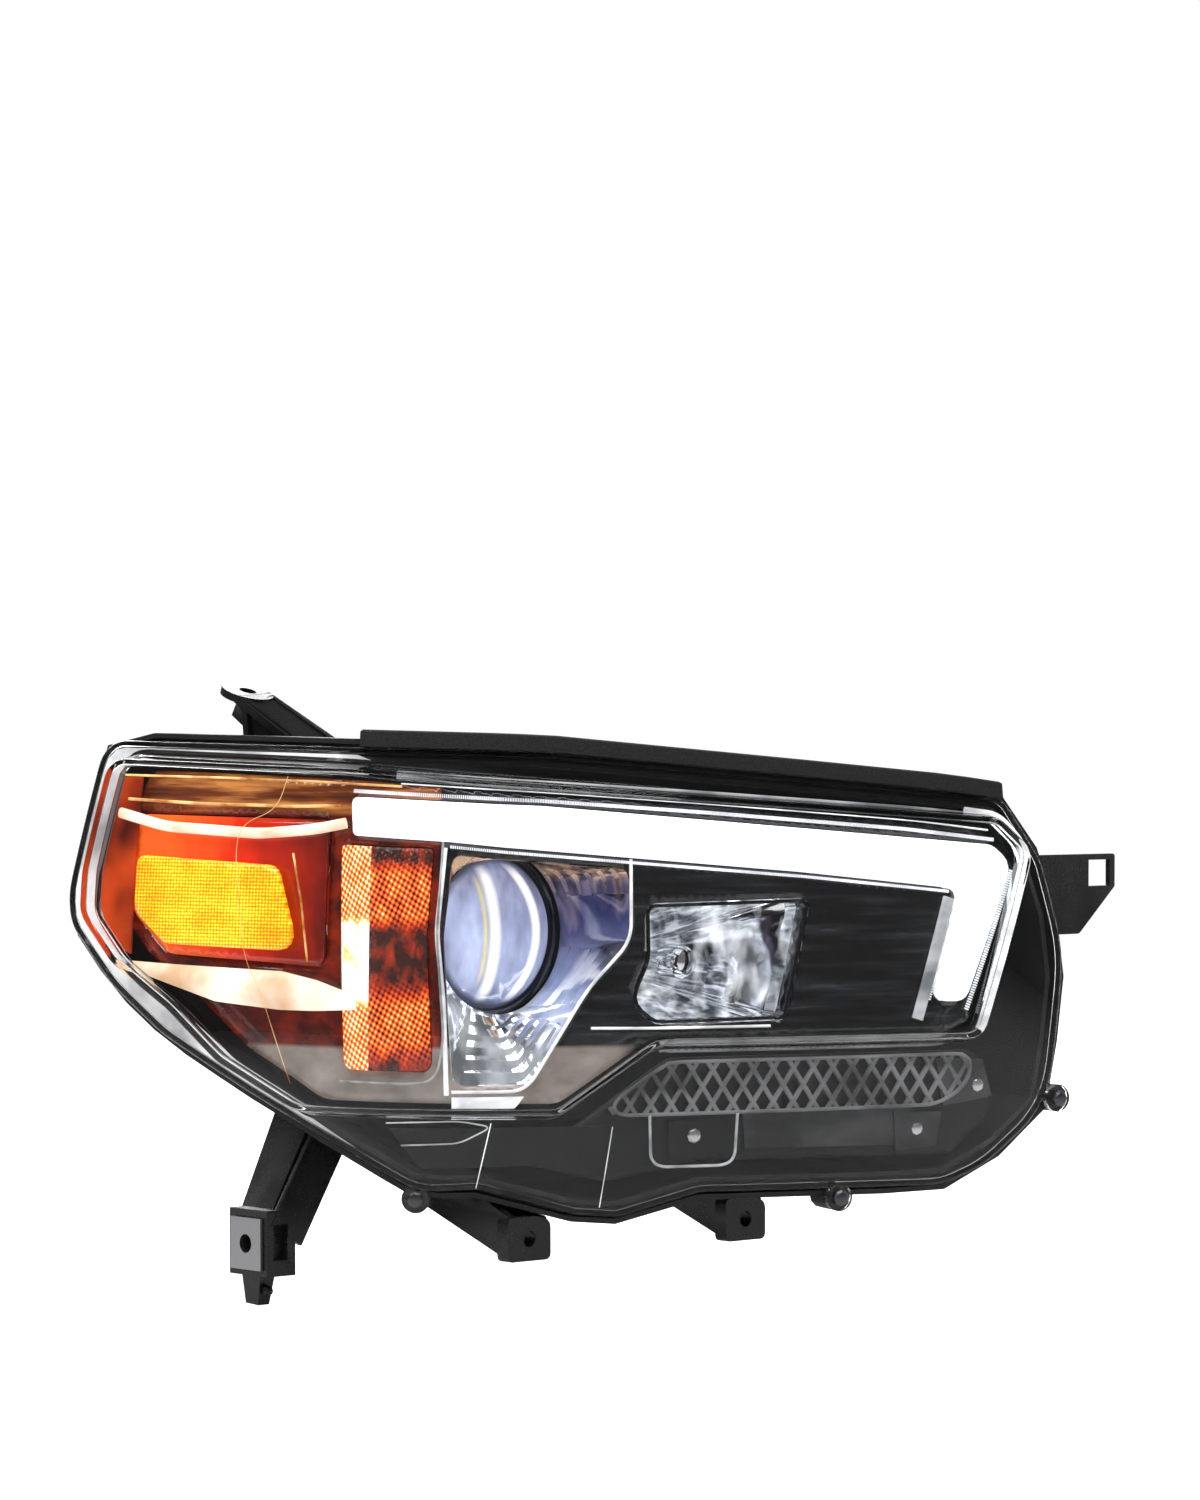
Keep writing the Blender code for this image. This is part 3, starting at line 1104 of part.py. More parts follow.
def socket_meshes(seat, along, reach, glass_radius):
    """Twist-lock socket closing a bore, and the bulb that stands in it; along points out."""
    seat = np.asarray(seat, float)
    along = np.asarray(along, float)
    bore = SOCKET_BORE - GAP
    profile = [(0, -14.0), (6.5, -14.0), (6.5, -8.0), (bore, -8.0), (bore, GAP), (SOCKET_BORE + 4.0, GAP),
               (SOCKET_BORE + 4.0, 3.5), (9.0, 3.5), (9.0, 12.0), (0, 12.0)]
    body = turned(profile, seat, along, SMALL_FACETS + 2)
    side = np.cross(along, UP)
    box = beam(seat + along * 10.0, seat + along * 22.0, 16.0, 11.0, side)
    wing = beam(seat + along * 3.0, seat + along * 13.0, 28.0, 3.0, UP)
    tip = -reach
    profile = [(0, tip), (glass_radius * 0.6, tip + 0.8), (glass_radius, tip + 5.0),
               (glass_radius, -24.0), (4.5, -20.0), (4.5, -14.0 - GAP), (0, -14.0 - GAP)]
    return combined(body, [box, wing]), turned(profile, seat, along, TINY_FACETS)


def connector_mesh():
    """Main plug inlet on the rear wall: an open shroud."""
    x, z = CONNECTOR_AT
    y = rear_y(x - 16.0) + 16.0
    shroud = block((x - 16.0, y - 34.0, z - 10.0), (x + 16.0, y, z + 10.0))
    hollow = block((x - 13.5, y - 14.0, z - 7.5), (x + 13.5, y + 5.0, z + 7.5))
    return combined(shroud, [], [hollow, envelope(GAP)])


def vent_cap_mesh(x, z):
    y = rear_y(x) + 9.0
    out = VENT_RADIUS + 1.5
    profile = [(0, 4.0), (out + 2.0, 4.0), (out + 3.0, 2.0), (out + 3.0, -5.0), (out + GAP, -5.0),
               (out + GAP, GAP), (0, GAP)]
    return turned(profile, (x, y, z), BACKWARD, TINY_FACETS)


# ================================================================ brackets
def lower_tab_mesh(x):
    """Mounting tab below the housing with a bolt hole along Y and an arm up to the belly."""
    _, y, z = TAB_INNER
    face = ((x - 14, z - 11, 3), (x + 14, z - 11, 3), (x + 14, z + 9, 5), (x + 4, z + 11, 5), (x - 14, z + 11, 3))
    outline, _ = rounded(face)
    hole = circle(TAB_HOLE_RADIUS, SMALL_FACETS, (x, z))
    front = plate(outline, [hole], (0, y + TAB_THICK, 0), INBOARD, UP, TAB_THICK)
    back = y + TAB_THICK
    arms = [beam((x - 10, back - 2.0, z + 2.0), (x - 16, back + 74.0, z + 36.0), 5.0, 20.0, INBOARD, 5.0, 26.0),
            beam((x + 11, back - 2.0, z + 1.4), (x + 5.6, back + 73.0, z + 35.2), 5.4, 17.6, INBOARD, 5.4, 24.0),
            beam((x, back - 0.5, z + 9.0), (x - 5, back + 60.0, z + 31.0), 21.5, 3.0, INBOARD),
            beam((x - 1.5, y + 16.0, z + 6.3), (x - 4.2, y + 16.4, z + 34.0), 21.0, 4.0, INBOARD)]
    return combined(front, arms, [envelope(GAP)])


def upper_bracket_mesh():
    """Arm from the housing's roof to an eyelet that tilts forward."""
    eyelet = np.array(EYELET)
    tilt = math.radians(EYELET_TILT_DEG)
    normal = np.array([0.0, -math.sin(tilt), math.cos(tilt)])
    ahead = np.cross(normal, INBOARD)
    disc = turned([(0, -EYELET_THICK / 2), (EYELET_RADIUS, -EYELET_THICK / 2),
                   (EYELET_RADIUS, EYELET_THICK / 2), (0, EYELET_THICK / 2)], eyelet, normal)
    near = eyelet - ahead * 4.0
    root = np.array([eyelet[0] + 14.0, eyelet[1] - 78.0, eyelet[2] - 44.0])
    arms = [beam(near, root, 24.0, 4.0, INBOARD, 34.0),
            beam(near + INBOARD * 10 - UP * 4, root + INBOARD * 12 - UP * 8, 3.0, 12.0, INBOARD, 3.0, 22.0),
            beam(near - INBOARD * 9 - UP * 4, root - INBOARD * 12 - UP * 8, 3.0, 12.0, INBOARD, 3.0, 22.0),
            beam(near - UP * 2 - ahead * 8, near + np.array([4.0, -14.0, -62.0]), 22.0, 4.0, INBOARD, 30.0)]
    cut = [rod(EYELET_HOLE, eyelet - normal * 10, eyelet + normal * 10, SMALL_FACETS), envelope(GAP)]
    return combined(disc, arms, cut)


def inboard_bracket_mesh():
    """Flat ear beside the grille with a rectangular clip hole and a slanted foot."""
    tip, top = INBOARD_TIP_X, INBOARD_TOP_Z
    corners = ((tip, top, 1.5), (tip, top - 17, 1.5), (tip - 27, top - 41, 3.0), (tip - 58, top - 41, 1.0),
               (tip - 58, top, 1.0))
    outline, _ = rounded(corners)
    width, height = INBOARD_HOLE
    x0, z0 = tip - 4.0 - width, top - 3.0 - height
    hole = np.array([(x0, z0), (x0 + width, z0), (x0 + width, z0 + height), (x0, z0 + height)])
    y = INBOARD_PLATE_Y
    face = plate(outline, [hole], (0, y + PLATE_WALL, 0), INBOARD, UP, PLATE_WALL)
    ribs = [block((tip - 58, y + PLATE_WALL - 1, top - 3), (tip - 24, y + 16, top - 0.5)),
            beam((tip - 27, y + 8, top - 39), (tip - 60, y + 8, top - 39), 14.0, 3.0, BACKWARD)]
    return combined(face, ribs, [envelope(GAP)])


def fender_bracket_meshes():
    """Arm under the wing's corner with a clip block, and the nut sprung on to it."""
    x, y, z = CLIP
    clip = block((x + 2.0, y - 15.0, z - 16.0), (x + 20.0, y + 15.0, z + 17.0))
    tongue = beam((x + 10.0, y + 2.0, z - 12.0), (x + 10.0, y + 3.0, z - 31.0), 10.0, 16.0, INBOARD, 7.0, 10.0)
    arm = beam((x + 14.0, y + 2.0, z + 8.0), (x + 52.0, y + 8.0, z + 66.0), 16.0, 26.0, INBOARD, 22.0, 34.0)
    rib = beam((x + 14.0, y - 14.0, z + 4.0), (x + 46.0, y - 14.0, z + 58.0), 22.0, 3.0, INBOARD)
    hollow = block((x - 2.0, y - 9.0, z - 8.0), (x + 14.0, y + 9.0, z + 9.0))
    slot = block((x + 6.0, y - 20.0, z - 8.0), (x + 15.0, y - 10.0, z + 10.0))
    pin = ball(np.array([x + 10.0, y - 5.0, z - 24.0]), 3.0)
    body = combined(clip, [tongue, arm, rib, pin], [hollow, slot, envelope(GAP)])
    leaf = np.array([(y - 12, z - 13), (y + 12, z - 13), (y + 12, z + 13), (y - 12, z + 13)])
    hole = circle(CLIP_NUT_RADIUS, SMALL_FACETS, (y, z))

    def place(points, at):
        return np.stack([np.full(len(points), at), points[:, 0], points[:, 1]], -1)

    nut = panel([leaf, hole], lambda p: place(p, x + 2.0 - GAP - 1.5), lambda p: place(p, x + 2.0 - GAP))
    barrel = turned([(CLIP_NUT_RADIUS, 1.0), (CLIP_NUT_RADIUS + 1.8, 1.0), (CLIP_NUT_RADIUS + 1.8, 9.0),
                     (CLIP_NUT_RADIUS, 9.0)], (x, y, z), INBOARD, SMALL_FACETS, tube=True)
    return body, combined(nut, [barrel])


# ================================================================ assembly
def build():
    for old in list(bpy.data.objects):
        bpy.data.objects.remove(old)

    piece("housing", housing_mesh(), "black_plastic")
    piece("outer_lens", lens_mesh(), "clear_plastic")
    piece("lens_sealant", sealant_mesh(), "sealant")
    piece("hood_seal", hood_seal_mesh(), "foam")
    for label, (s, z) in zip(("outboard", "middle", "inboard"), LENS_SCREWS):
        piece(f"lens_screw_{label}", screw_mesh(surface(s, z, FLANGE_DEPTH - PAD_RISE), normal_at(s)), "zinc")

    piece("bezel", bezel_mesh(), "gloss_black")
    piece("projector_shroud", projector_shroud_mesh(), "chrome")
    piece("high_beam_surround", high_beam_surround_mesh(), "gloss_black")
    piece("lower_trim", lower_trim_mesh(), "black_plastic")
    piece("grille_mesh", grille_mesh(), "black_plastic")
    for label, (s, z) in zip(("outboard", "middle", "inboard"), TRIM_SCREWS):
        piece(f"trim_screw_{label}", screw_mesh(surface(s, z, LOWER_TRIM_DEPTH), normal_at(s)), "zinc")
    for name, mesh, look in zip(("drl_light_guide", "drl_channel", "drl_board"), drl_meshes(),
                                ("light_guide", "gloss_black", "circuit_board")):
        piece(name, mesh, look)

    piece("turn_signal_lens", turn_lens_mesh(), "amber_plastic")
    piece("turn_signal_reflector", turn_reflector_mesh(), "chrome")
    side_lens = curved_panel([fine(closed_outline(SIDE_OPENING, -TRIM_PLAY))], BEZEL_DEPTH - 3.0,
                             AMBER_WALL, (14.0, 24.0))
    piece("side_marker_lens", side_lens, "amber_plastic")
    reflex = curved_panel([fine(closed_outline(REFLEX_CORNERS))], REFLEX_FRONT, REFLEX_THICK, (14.0, 20.0))
    piece("side_reflex_reflector", reflex, "amber_plastic")
    piece("side_marker_reflector", side_reflector_mesh(), "chrome")

    pivot = (0.0, PIVOT_Y, PIVOT_Z)
    piece("carrier_frame", carrier_mesh(), "black_plastic", pivot)
    glass, ring, shield, bowl = projector_meshes()
    piece("projector_lens", glass, "optical_glass", pivot)
    piece("projector_lens_ring", ring, "gloss_black", pivot)
    piece("cutoff_shield", shield, "zinc", pivot)
    piece("projector_reflector", bowl, "chrome", pivot)
    low_y = CARRIER_BACK + GAP + REFLECTOR_LENGTH + 4.0
    low_at = (PROJECTOR_X, low_y, PROJECTOR_Z)
    low_bulb = bulb_mesh((PROJECTOR_X, PROJECTOR_Z), low_y - 34.0, low_y, 5.5, BULB_HOLE - 1.0, 18.0)
    piece("low_beam_bulb", low_bulb, "optical_glass", low_at)
    reflector, bulb_shield = high_beam_meshes()
    piece("high_beam_reflector", reflector, "chrome", pivot)
    piece("high_beam_bulb_shield", bulb_shield, "chrome", pivot)
    high_y = CARRIER_BACK + 2.0
    high_at = (HIGH_BEAM[0], high_y, HIGH_BEAM_Z)
    high_bulb = bulb_mesh((HIGH_BEAM[0], HIGH_BEAM_Z), high_y - 60.0, high_y, 5.0, HIGH_BULB_BASE - 0.5, 18.0)
    piece("high_beam_bulb", high_bulb, "optical_glass", high_at)

    for label, x in zip(("outboard", "inboard"), PIVOT_XS):
        piece(f"pivot_stud_{label}", pivot_stud_mesh(x), "zinc")
    nut, screw = aim_meshes()
    piece("aim_ball_nut", nut, "light_guide", (AIM_X, CARRIER_BACK, AIM_Z))
    piece("aim_screw", screw, "zinc", (AIM_X, CARRIER_BACK, AIM_Z))

    piece("low_beam_cap", cap_mesh(PROJECTOR_X, LOW_CAP_Y, PROJECTOR_Z, LOW_CAP_RADIUS), "rubber",
          (PROJECTOR_X, LOW_CAP_Y, PROJECTOR_Z))
    piece("high_beam_cap", cap_mesh(HIGH_BEAM[0], HIGH_CAP_Y, HIGH_BEAM_Z, HIGH_CAP_RADIUS), "rubber",
          (HIGH_BEAM[0], HIGH_CAP_Y, HIGH_BEAM_Z))
    turn_at = (TURN_BULB_X, TURN_SOCKET_Y, TURN_BULB_Z)
    socket, bulb = socket_meshes(turn_at, BACKWARD, 62.0, 8.0)
    piece("turn_signal_socket", socket, "black_plastic", turn_at)
    piece("turn_signal_bulb", bulb, "amber_plastic", turn_at)
    side_at = (SIDE_SOCKET_X, SIDE_BULB_Y, SIDE_BULB_Z)
    socket, bulb = socket_meshes(side_at, INBOARD, 50.0, 5.0)
    piece("side_marker_socket", socket, "black_plastic", side_at)
    piece("side_marker_bulb", bulb, "amber_plastic", side_at)
    piece("main_connector", connector_mesh(), "black_plastic")
    for label, (x, z) in zip(("upper", "lower"), VENTS):
        piece(f"vent_cap_{label}", vent_cap_mesh(x, z), "rubber")

    piece("upper_bracket", upper_bracket_mesh(), "black_plastic")
    piece("inboard_bracket", inboard_bracket_mesh(), "black_plastic")
    piece("lower_tab_inner", lower_tab_mesh(TAB_INNER[0]), "black_plastic")
    piece("lower_tab_outer", lower_tab_mesh(TAB_INNER[0] - TAB_SPACING), "black_plastic")
    body, nut = fender_bracket_meshes()
    piece("fender_bracket", body, "black_plastic")
    piece("fender_clip_nut", nut, "zinc")


build()
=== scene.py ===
"""Looks of a right-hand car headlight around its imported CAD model.

Frame: +X inboard, -Y forward, +Z up, metres, origin on the inner lower tab.  A place on
the lamp's front is (s, z, d) in millimetres: s runs along the lens's plan curve from its
inboard end, z is the height and d is the depth behind the front face.
"""

import json
import math

import bmesh
import bpy
import numpy as np
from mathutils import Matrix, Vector

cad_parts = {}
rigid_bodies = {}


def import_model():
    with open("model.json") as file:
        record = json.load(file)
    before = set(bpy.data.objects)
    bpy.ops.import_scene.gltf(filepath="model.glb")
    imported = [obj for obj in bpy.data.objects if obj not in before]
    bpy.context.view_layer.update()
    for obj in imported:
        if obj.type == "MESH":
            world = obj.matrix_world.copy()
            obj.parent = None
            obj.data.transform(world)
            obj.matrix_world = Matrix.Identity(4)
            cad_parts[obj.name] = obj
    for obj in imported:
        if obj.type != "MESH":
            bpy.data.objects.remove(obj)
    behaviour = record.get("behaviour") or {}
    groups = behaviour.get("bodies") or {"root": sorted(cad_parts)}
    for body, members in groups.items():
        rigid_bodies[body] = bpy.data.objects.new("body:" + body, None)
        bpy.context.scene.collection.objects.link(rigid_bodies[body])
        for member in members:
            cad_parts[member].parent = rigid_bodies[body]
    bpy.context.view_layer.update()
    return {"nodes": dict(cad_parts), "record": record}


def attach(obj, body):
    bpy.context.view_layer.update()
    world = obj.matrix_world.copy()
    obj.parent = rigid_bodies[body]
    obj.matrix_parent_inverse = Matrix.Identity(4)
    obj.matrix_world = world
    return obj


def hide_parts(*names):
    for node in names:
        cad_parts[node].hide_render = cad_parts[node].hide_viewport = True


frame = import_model()

MM = 0.001
ORIGIN = np.array([297.0, 118.0, 28.0])   # the frame's origin, in the plan curve's own millimetres

# ---------------------------------------------------------------- plan curve of the lens
PLAN_START = (400.0, 0.0)
STRETCHES = (290.0, 128.0, 150.0)
SWEEP_DEG = (14.0, 28.0, 74.0, 82.0)
CROWN_Z = 130.0
CROWN_RADIUS = 800.0

LENS_WALL = 3.0
FLANGE_DEPTH = 14.0
RIM_END_DEPTH = 30.0
FACE_CORNERS = (
    (531.0, 271.0, 12.0), (380.0, 266.0, 80.0), (27.0, 241.0, 12.0), (8.0, 224.0, 12.0),
    (41.0, 129.3, 12.0), (218.0, 129.8, 14.0), (268.0, 96.5, 14.0), (402.0, 98.0, 30.0),
    (450.0, 121.0, 40.0), (482.0, 146.0, 30.0), (520.0, 168.5, 20.0), (543.0, 192.0, 16.0),
    (543.0, 214.0, 30.0))
FACE_ANCHORS = (0, 2, 4, 5, 6, 7, 8)
FLANGE_CORNERS = (
    (549.0, 280.0, 16.0), (272.0, 274.0, 150.0), (16.0, 251.0, 14.0), (-5.0, 219.0, 24.0),
    (-17.0, 172.0, 90.0), (-7.0, 93.0, 60.0), (30.0, 64.0, 60.0), (54.0, 55.0, 40.0),
    (190.0, 56.0, 24.0), (234.0, 44.5, 14.0), (256.0, 46.5, 14.0), (307.0, 60.0, 30.0),
    (341.0, 59.0, 40.0), (378.0, 77.0, 90.0), (441.0, 105.5, 120.0), (497.0, 132.5, 80.0),
    (532.0, 156.0, 60.0), (563.0, 186.0, 30.0), (566.0, 202.0, 60.0))
FLANGE_ANCHORS = (0, 2, 5, 8, 10, 13, 14)
SECTION_COUNTS = (136, 40, 48, 24, 56, 24, 80)
FACE_CENTRE = (285.0, 186.0)

PROJECTOR = (161.45, 162.57, 184.0)      # centre of the glass's rim plane
GLASS_RADIUS = 38.0
HIGH_BEAM = (253.45, 168.0)              # axis of the high-beam bowl: x, z
LENS_SCREWS = ((342.0, 55.6), (114.0, 50.9), (-12.4, 97.0))
LUG_RADIUS = 7.0
PAD_RISE = 0.6
SCREW_BORE = 2.3


def plan_table(step=0.25, before=-80.0):
    """Walk the plan curve: its tangent angle grows evenly along each stretch."""
    knots = np.cumsum((0.0, *STRETCHES))
    s = np.arange(before, knots[-1] + 60.0, step)
    angle = np.radians(np.interp(s, knots, SWEEP_DEG))
    dx = np.cumsum(-np.cos(angle)) * step
    dy = np.cumsum(np.sin(angle)) * step
    start = np.argmin(abs(s))
    return s, angle, dx - dx[start] + PLAN_START[0], dy - dy[start] + PLAN_START[1]


PLAN_S, PLAN_ANGLE, PLAN_X, PLAN_Y = plan_table()


def surface(s, z, depth):
    """Row-frame point: plan curve at s, moved inwards by depth plus the crown (z-z0)^2/2R."""
    s, z, depth = np.broadcast_arrays(np.asarray(s, float), np.asarray(z, float), np.asarray(depth, float))
    angle = np.interp(s, PLAN_S, PLAN_ANGLE)
    reach = depth + (z - CROWN_Z) ** 2 / (2 * CROWN_RADIUS)
    x = np.interp(s, PLAN_S, PLAN_X) + np.sin(angle) * reach
    y = np.interp(s, PLAN_S, PLAN_Y) + np.cos(angle) * reach
    return (np.stack([x, y, z], -1) - ORIGIN) * MM


def lamp_coordinates(points):
    """Inverse of surface(): for each point the s whose inward line passes through it, z and depth."""
    p = np.asarray(points) / MM + ORIGIN
    coarse = slice(None, None, 8)
    gx, gy, ga = PLAN_X[coarse], PLAN_Y[coarse], PLAN_ANGLE[coarse]
    along = -(p[:, None, 0] - gx) * np.cos(ga) + (p[:, None, 1] - gy) * np.sin(ga)
    k = np.clip(np.argmax(along <= 0, axis=1), 1, len(gx) - 1)
    rows = np.arange(len(p))
    a, b = along[rows, k - 1], along[rows, k]
    last, step = PLAN_S[coarse][k - 1], PLAN_S[coarse][k] - PLAN_S[coarse][k - 1]
    s = last + step * a / np.where(a - b == 0, 1, a - b)
    angle = np.interp(s, PLAN_S, PLAN_ANGLE)
    depth = ((p[:, 0] - np.interp(s, PLAN_S, PLAN_X)) * np.sin(angle)
             + (p[:, 1] - np.interp(s, PLAN_S, PLAN_Y)) * np.cos(angle))
    return np.stack([s, p[:, 2], depth - (p[:, 2] - CROWN_Z) ** 2 / (2 * CROWN_RADIUS)], -1)


# ---------------------------------------------------------------- outlines
def rounded(corners, turn_step=6.0):
    """Outline through corners (u, v, radius) with true arcs; also each arc's middle."""
    points, middles = [], []
    flat = np.array([c[:2] for c in corners], float)
    for i, (u, v, radius) in enumerate(corners):
        here = flat[i]
        to_last = flat[i - 1] - here
        to_next = flat[(i + 1) % len(flat)] - here
        room = 0.45 * min(np.linalg.norm(to_last), np.linalg.norm(to_next))
        to_last /= np.linalg.norm(to_last)
        to_next /= np.linalg.norm(to_next)
        half = math.acos(float(np.clip(to_last @ to_next, -1, 1))) / 2
        tangent = min(radius / math.tan(half), room)
        radius = tangent * math.tan(half)
        centre = here + (to_last + to_next) / np.linalg.norm(to_last + to_next) * radius / math.sin(half)
        start = here + to_last * tangent - centre
        end = here + to_next * tangent - centre
        turn = math.atan2(start[0] * end[1] - start[1] * end[0], start @ end)
        steps = max(4, math.ceil(abs(turn) / math.radians(turn_step)))
        angle = math.atan2(start[1], start[0]) + turn * np.arange(steps + 1) / steps
        middles.append(len(points) + steps // 2)
        points += list(centre + radius * np.stack([np.cos(angle), np.sin(angle)], -1))
    return np.array(points), middles


def distances(points):
    """Distance walked along an open run of points, at each of them."""
    return np.concatenate([[0.0], np.cumsum(np.linalg.norm(np.diff(points, axis=0), axis=1))])


def read_at(wanted, walked, points):
    """Places at the wanted distances along a run of points."""
    return np.stack([np.interp(wanted, walked, column) for column in points.T], -1)


def spaced(run, count):
    """count points at equal distances along an open run of points."""
    walked = distances(run)
    return read_at(np.linspace(0.0, walked[-1], count + 1)[:-1], walked, run)


def matched(corners, anchors):
    """Outline with SECTION_COUNTS equal steps between anchors, so that loops pair up."""
    points, middles = rounded(corners)
    picked = []
    for k, count in enumerate(SECTION_COUNTS):
        first = middles[anchors[k]]
        last = middles[anchors[(k + 1) % len(anchors)]]
        last += len(points) if last <= first else 0
        picked.append(spaced(points[np.arange(first, last + 1) % len(points)], count))
    return np.concatenate(picked)


def even_loop(corners, count):
    """Closed rounded outline with count points at equal distances."""
    points, _ = rounded(corners)
    return spaced(np.concatenate([points, points[:1]]), count)


def grow(loop, distance):
    """The outline moved outwards by distance, or inwards when it is negative."""
    before = loop - np.roll(loop, 1, 0)
    after = np.roll(loop, -1, 0) - loop
    before /= np.linalg.norm(before, axis=1)[:, None]
    after /= np.linalg.norm(after, axis=1)[:, None]
    along = before + after
    along /= np.linalg.norm(along, axis=1)[:, None]
    nxt = np.roll(loop, -1, 0)
    sign = np.sign(np.sum(loop[:, 0] * nxt[:, 1] - nxt[:, 0] * loop[:, 1]))
    out = np.stack([along[:, 1], -along[:, 0]], -1) * sign
    return loop + out * distance


# ---------------------------------------------------------------- meshes
BOX_FACES = np.array([[0, 1, 2, 3], [7, 6, 5, 4], [0, 4, 5, 1], [1, 5, 6, 2], [2, 6, 7, 3], [3, 7, 4, 0]])
MERGE_DISTANCE = 0.000002
UV_UNIT = 100.0                          # millimetres to one unit of the lamp's UV map


def map_places(mesh, places):
    """UV map from an (s, z) place for each vertex."""
    layer = mesh.uv_layers.new(name="lamp")
    corner = np.empty(len(mesh.loops), np.int32)
    mesh.loops.foreach_get("vertex_index", corner)
    layer.data.foreach_set("uv", (np.asarray(places)[corner] / UV_UNIT).astype(np.float32).ravel())


def placed(name, mesh, smooth_deg):
    """Object at the origin that shows the mesh, sharp only above the given edge angle."""
    mesh.shade_smooth()
    mesh.set_sharp_from_angle(angle=math.radians(smooth_deg))
    made = bpy.data.objects.new(name, mesh)
    bpy.context.scene.collection.objects.link(made)
    return made


def mesh_piece(name, points, faces, places=None, smooth_deg=35.0):
    """Object from point and face arrays; merged, normals outwards."""
    mesh = bpy.data.meshes.new(name)
    mesh.from_pydata(np.asarray(points).tolist(), [], np.asarray(faces).tolist())
    if places is not None:
        map_places(mesh, places)
    bm = bmesh.new()
    bm.from_mesh(mesh)
    bmesh.ops.remove_doubles(bm, verts=bm.verts, dist=MERGE_DISTANCE)
    bmesh.ops.dissolve_degenerate(bm, edges=bm.edges, dist=0.000001)
    bmesh.ops.recalc_face_normals(bm, faces=bm.faces)
    bm.to_mesh(mesh)
    bm.free()
    return placed(name, mesh, smooth_deg)


def grid_faces(rows, columns, close_rows=False, close_columns=False):
    """Quads of a grid of points, row after row, wrapping where it is closed."""
    r = np.arange(rows if close_rows else rows - 1)
    c = np.arange(columns if close_columns else columns - 1)
    r, c = np.meshgrid(r, c, indexing="ij")
    r2, c2 = (r + 1) % rows, (c + 1) % columns
    quads = np.stack([r * columns + c, r * columns + c2, r2 * columns + c2, r2 * columns + c], -1)
    return quads.reshape(-1, 4)


def grid_piece(name, grid, close_rows=False, smooth_deg=35.0):
    """Piece from a (rows, columns, 3) array of points whose rows are closed rings."""
    faces = grid_faces(*grid.shape[:2], close_rows, close_columns=True)
    return mesh_piece(name, grid.reshape(-1, 3), faces, smooth_deg=smooth_deg)


def turned(name, profile, centre, axis, count=96, smooth_deg=35.0):
    """Profile of (radius, distance) in mm turned about an axis through centre."""
    along = np.asarray(axis, float) / np.linalg.norm(axis)
    helper = np.array([0.0, 0.0, 1.0]) if abs(along[2]) < 0.9 else np.array([1.0, 0.0, 0.0])
    first = np.cross(helper, along)
    first /= np.linalg.norm(first)
    second = np.cross(along, first)
    angle = np.linspace(0, 2 * math.pi, count, endpoint=False)
    ring = np.cos(angle)[:, None] * first + np.sin(angle)[:, None] * second
    profile = np.asarray(profile, float)
    grid = (np.asarray(centre, float) + profile[:, 1][:, None, None] * along
            + profile[:, 0][:, None, None] * ring)
    return grid_piece(name, (grid - ORIGIN) * MM, smooth_deg=smooth_deg)


def swept(name, path, half_width, half_height, across, count=14, power=0.8):
    """Bar of the given half sizes along a path; a power under 1 makes its oval section squarer."""
    along = np.gradient(path, axis=0)
    along /= np.linalg.norm(along, axis=1)[:, None]
    side = across - along * np.sum(across * along, axis=1)[:, None]
    side /= np.linalg.norm(side, axis=1)[:, None]
    up = np.cross(along, side)
    angle = np.linspace(0, 2 * math.pi, count, endpoint=False)
    w = np.sign(np.cos(angle)) * abs(np.cos(angle)) ** power
    h = np.sign(np.sin(angle)) * abs(np.sin(angle)) ** power
    grid = path[:, None] + side[:, None] * w[:, None] * half_width + up[:, None] * h[:, None] * half_height
    ends = np.repeat(path[[0, -1]][:, None], count, 1)
    return grid_piece(name, np.concatenate([ends[:1], grid, ends[1:]]), smooth_deg=50)


def merged(node):
    """The CAD node's own mesh with its loose triangles joined, ready to edit."""
    bm = bmesh.new()
    bm.from_mesh(frame["nodes"][node].data)
    bmesh.ops.remove_doubles(bm, verts=bm.verts, dist=MERGE_DISTANCE)
    return bm


def as_mesh(bm, name):
    mesh = bpy.data.meshes.new(name)
    bm.to_mesh(mesh)
    bm.free()
    return mesh


def cad_copy(node, bevel=0.5, smooth_deg=32.0):
    """The CAD node's mesh with its edges rounded by a bevel in millimetres; it replaces the node."""
    bm = merged(node)
    bmesh.ops.dissolve_limit(bm, angle_limit=math.radians(1.0), verts=bm.verts, edges=bm.edges)
    made = placed(node + "_look", as_mesh(bm, node + "_look"), smooth_deg)
    if bevel:
        round_off = made.modifiers.new("edges", "BEVEL")
        round_off.width = bevel * MM
        round_off.segments = 2
        round_off.limit_method = "ANGLE"
        round_off.angle_limit = math.radians(35)
        round_off.use_clamp_overlap = True
        round_off.harden_normals = False
    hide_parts(node)
    return made


def on_lamp_curve(node, longest=6.0):
    """A CAD sheet made smooth: its mesh is cut finer in (s, z, d), where it is flat, and put back."""
    bm = merged(node)
    for vert, at in zip(bm.verts, lamp_coordinates([v.co[:] for v in bm.verts])):
        vert.co = at
    for _ in range(5):
        long = [e for e in bm.edges if e.calc_length() > longest]
        if not long:
            break
        bmesh.ops.subdivide_edges(bm, edges=long, cuts=1)
        bmesh.ops.triangulate(bm, faces=[f for f in bm.faces if len(f.verts) > 3])
    mesh = as_mesh(bm, node + "_look")
    flat = np.empty(len(mesh.vertices) * 3)
    mesh.vertices.foreach_get("co", flat)
    flat = flat.reshape(-1, 3)
    mesh.vertices.foreach_set("co", surface(*flat.T).astype(np.float32).ravel())
    map_places(mesh, flat[:, :2])
    mesh.update()
    made = placed(node + "_look", mesh, 35.0)
    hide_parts(node)
    return made


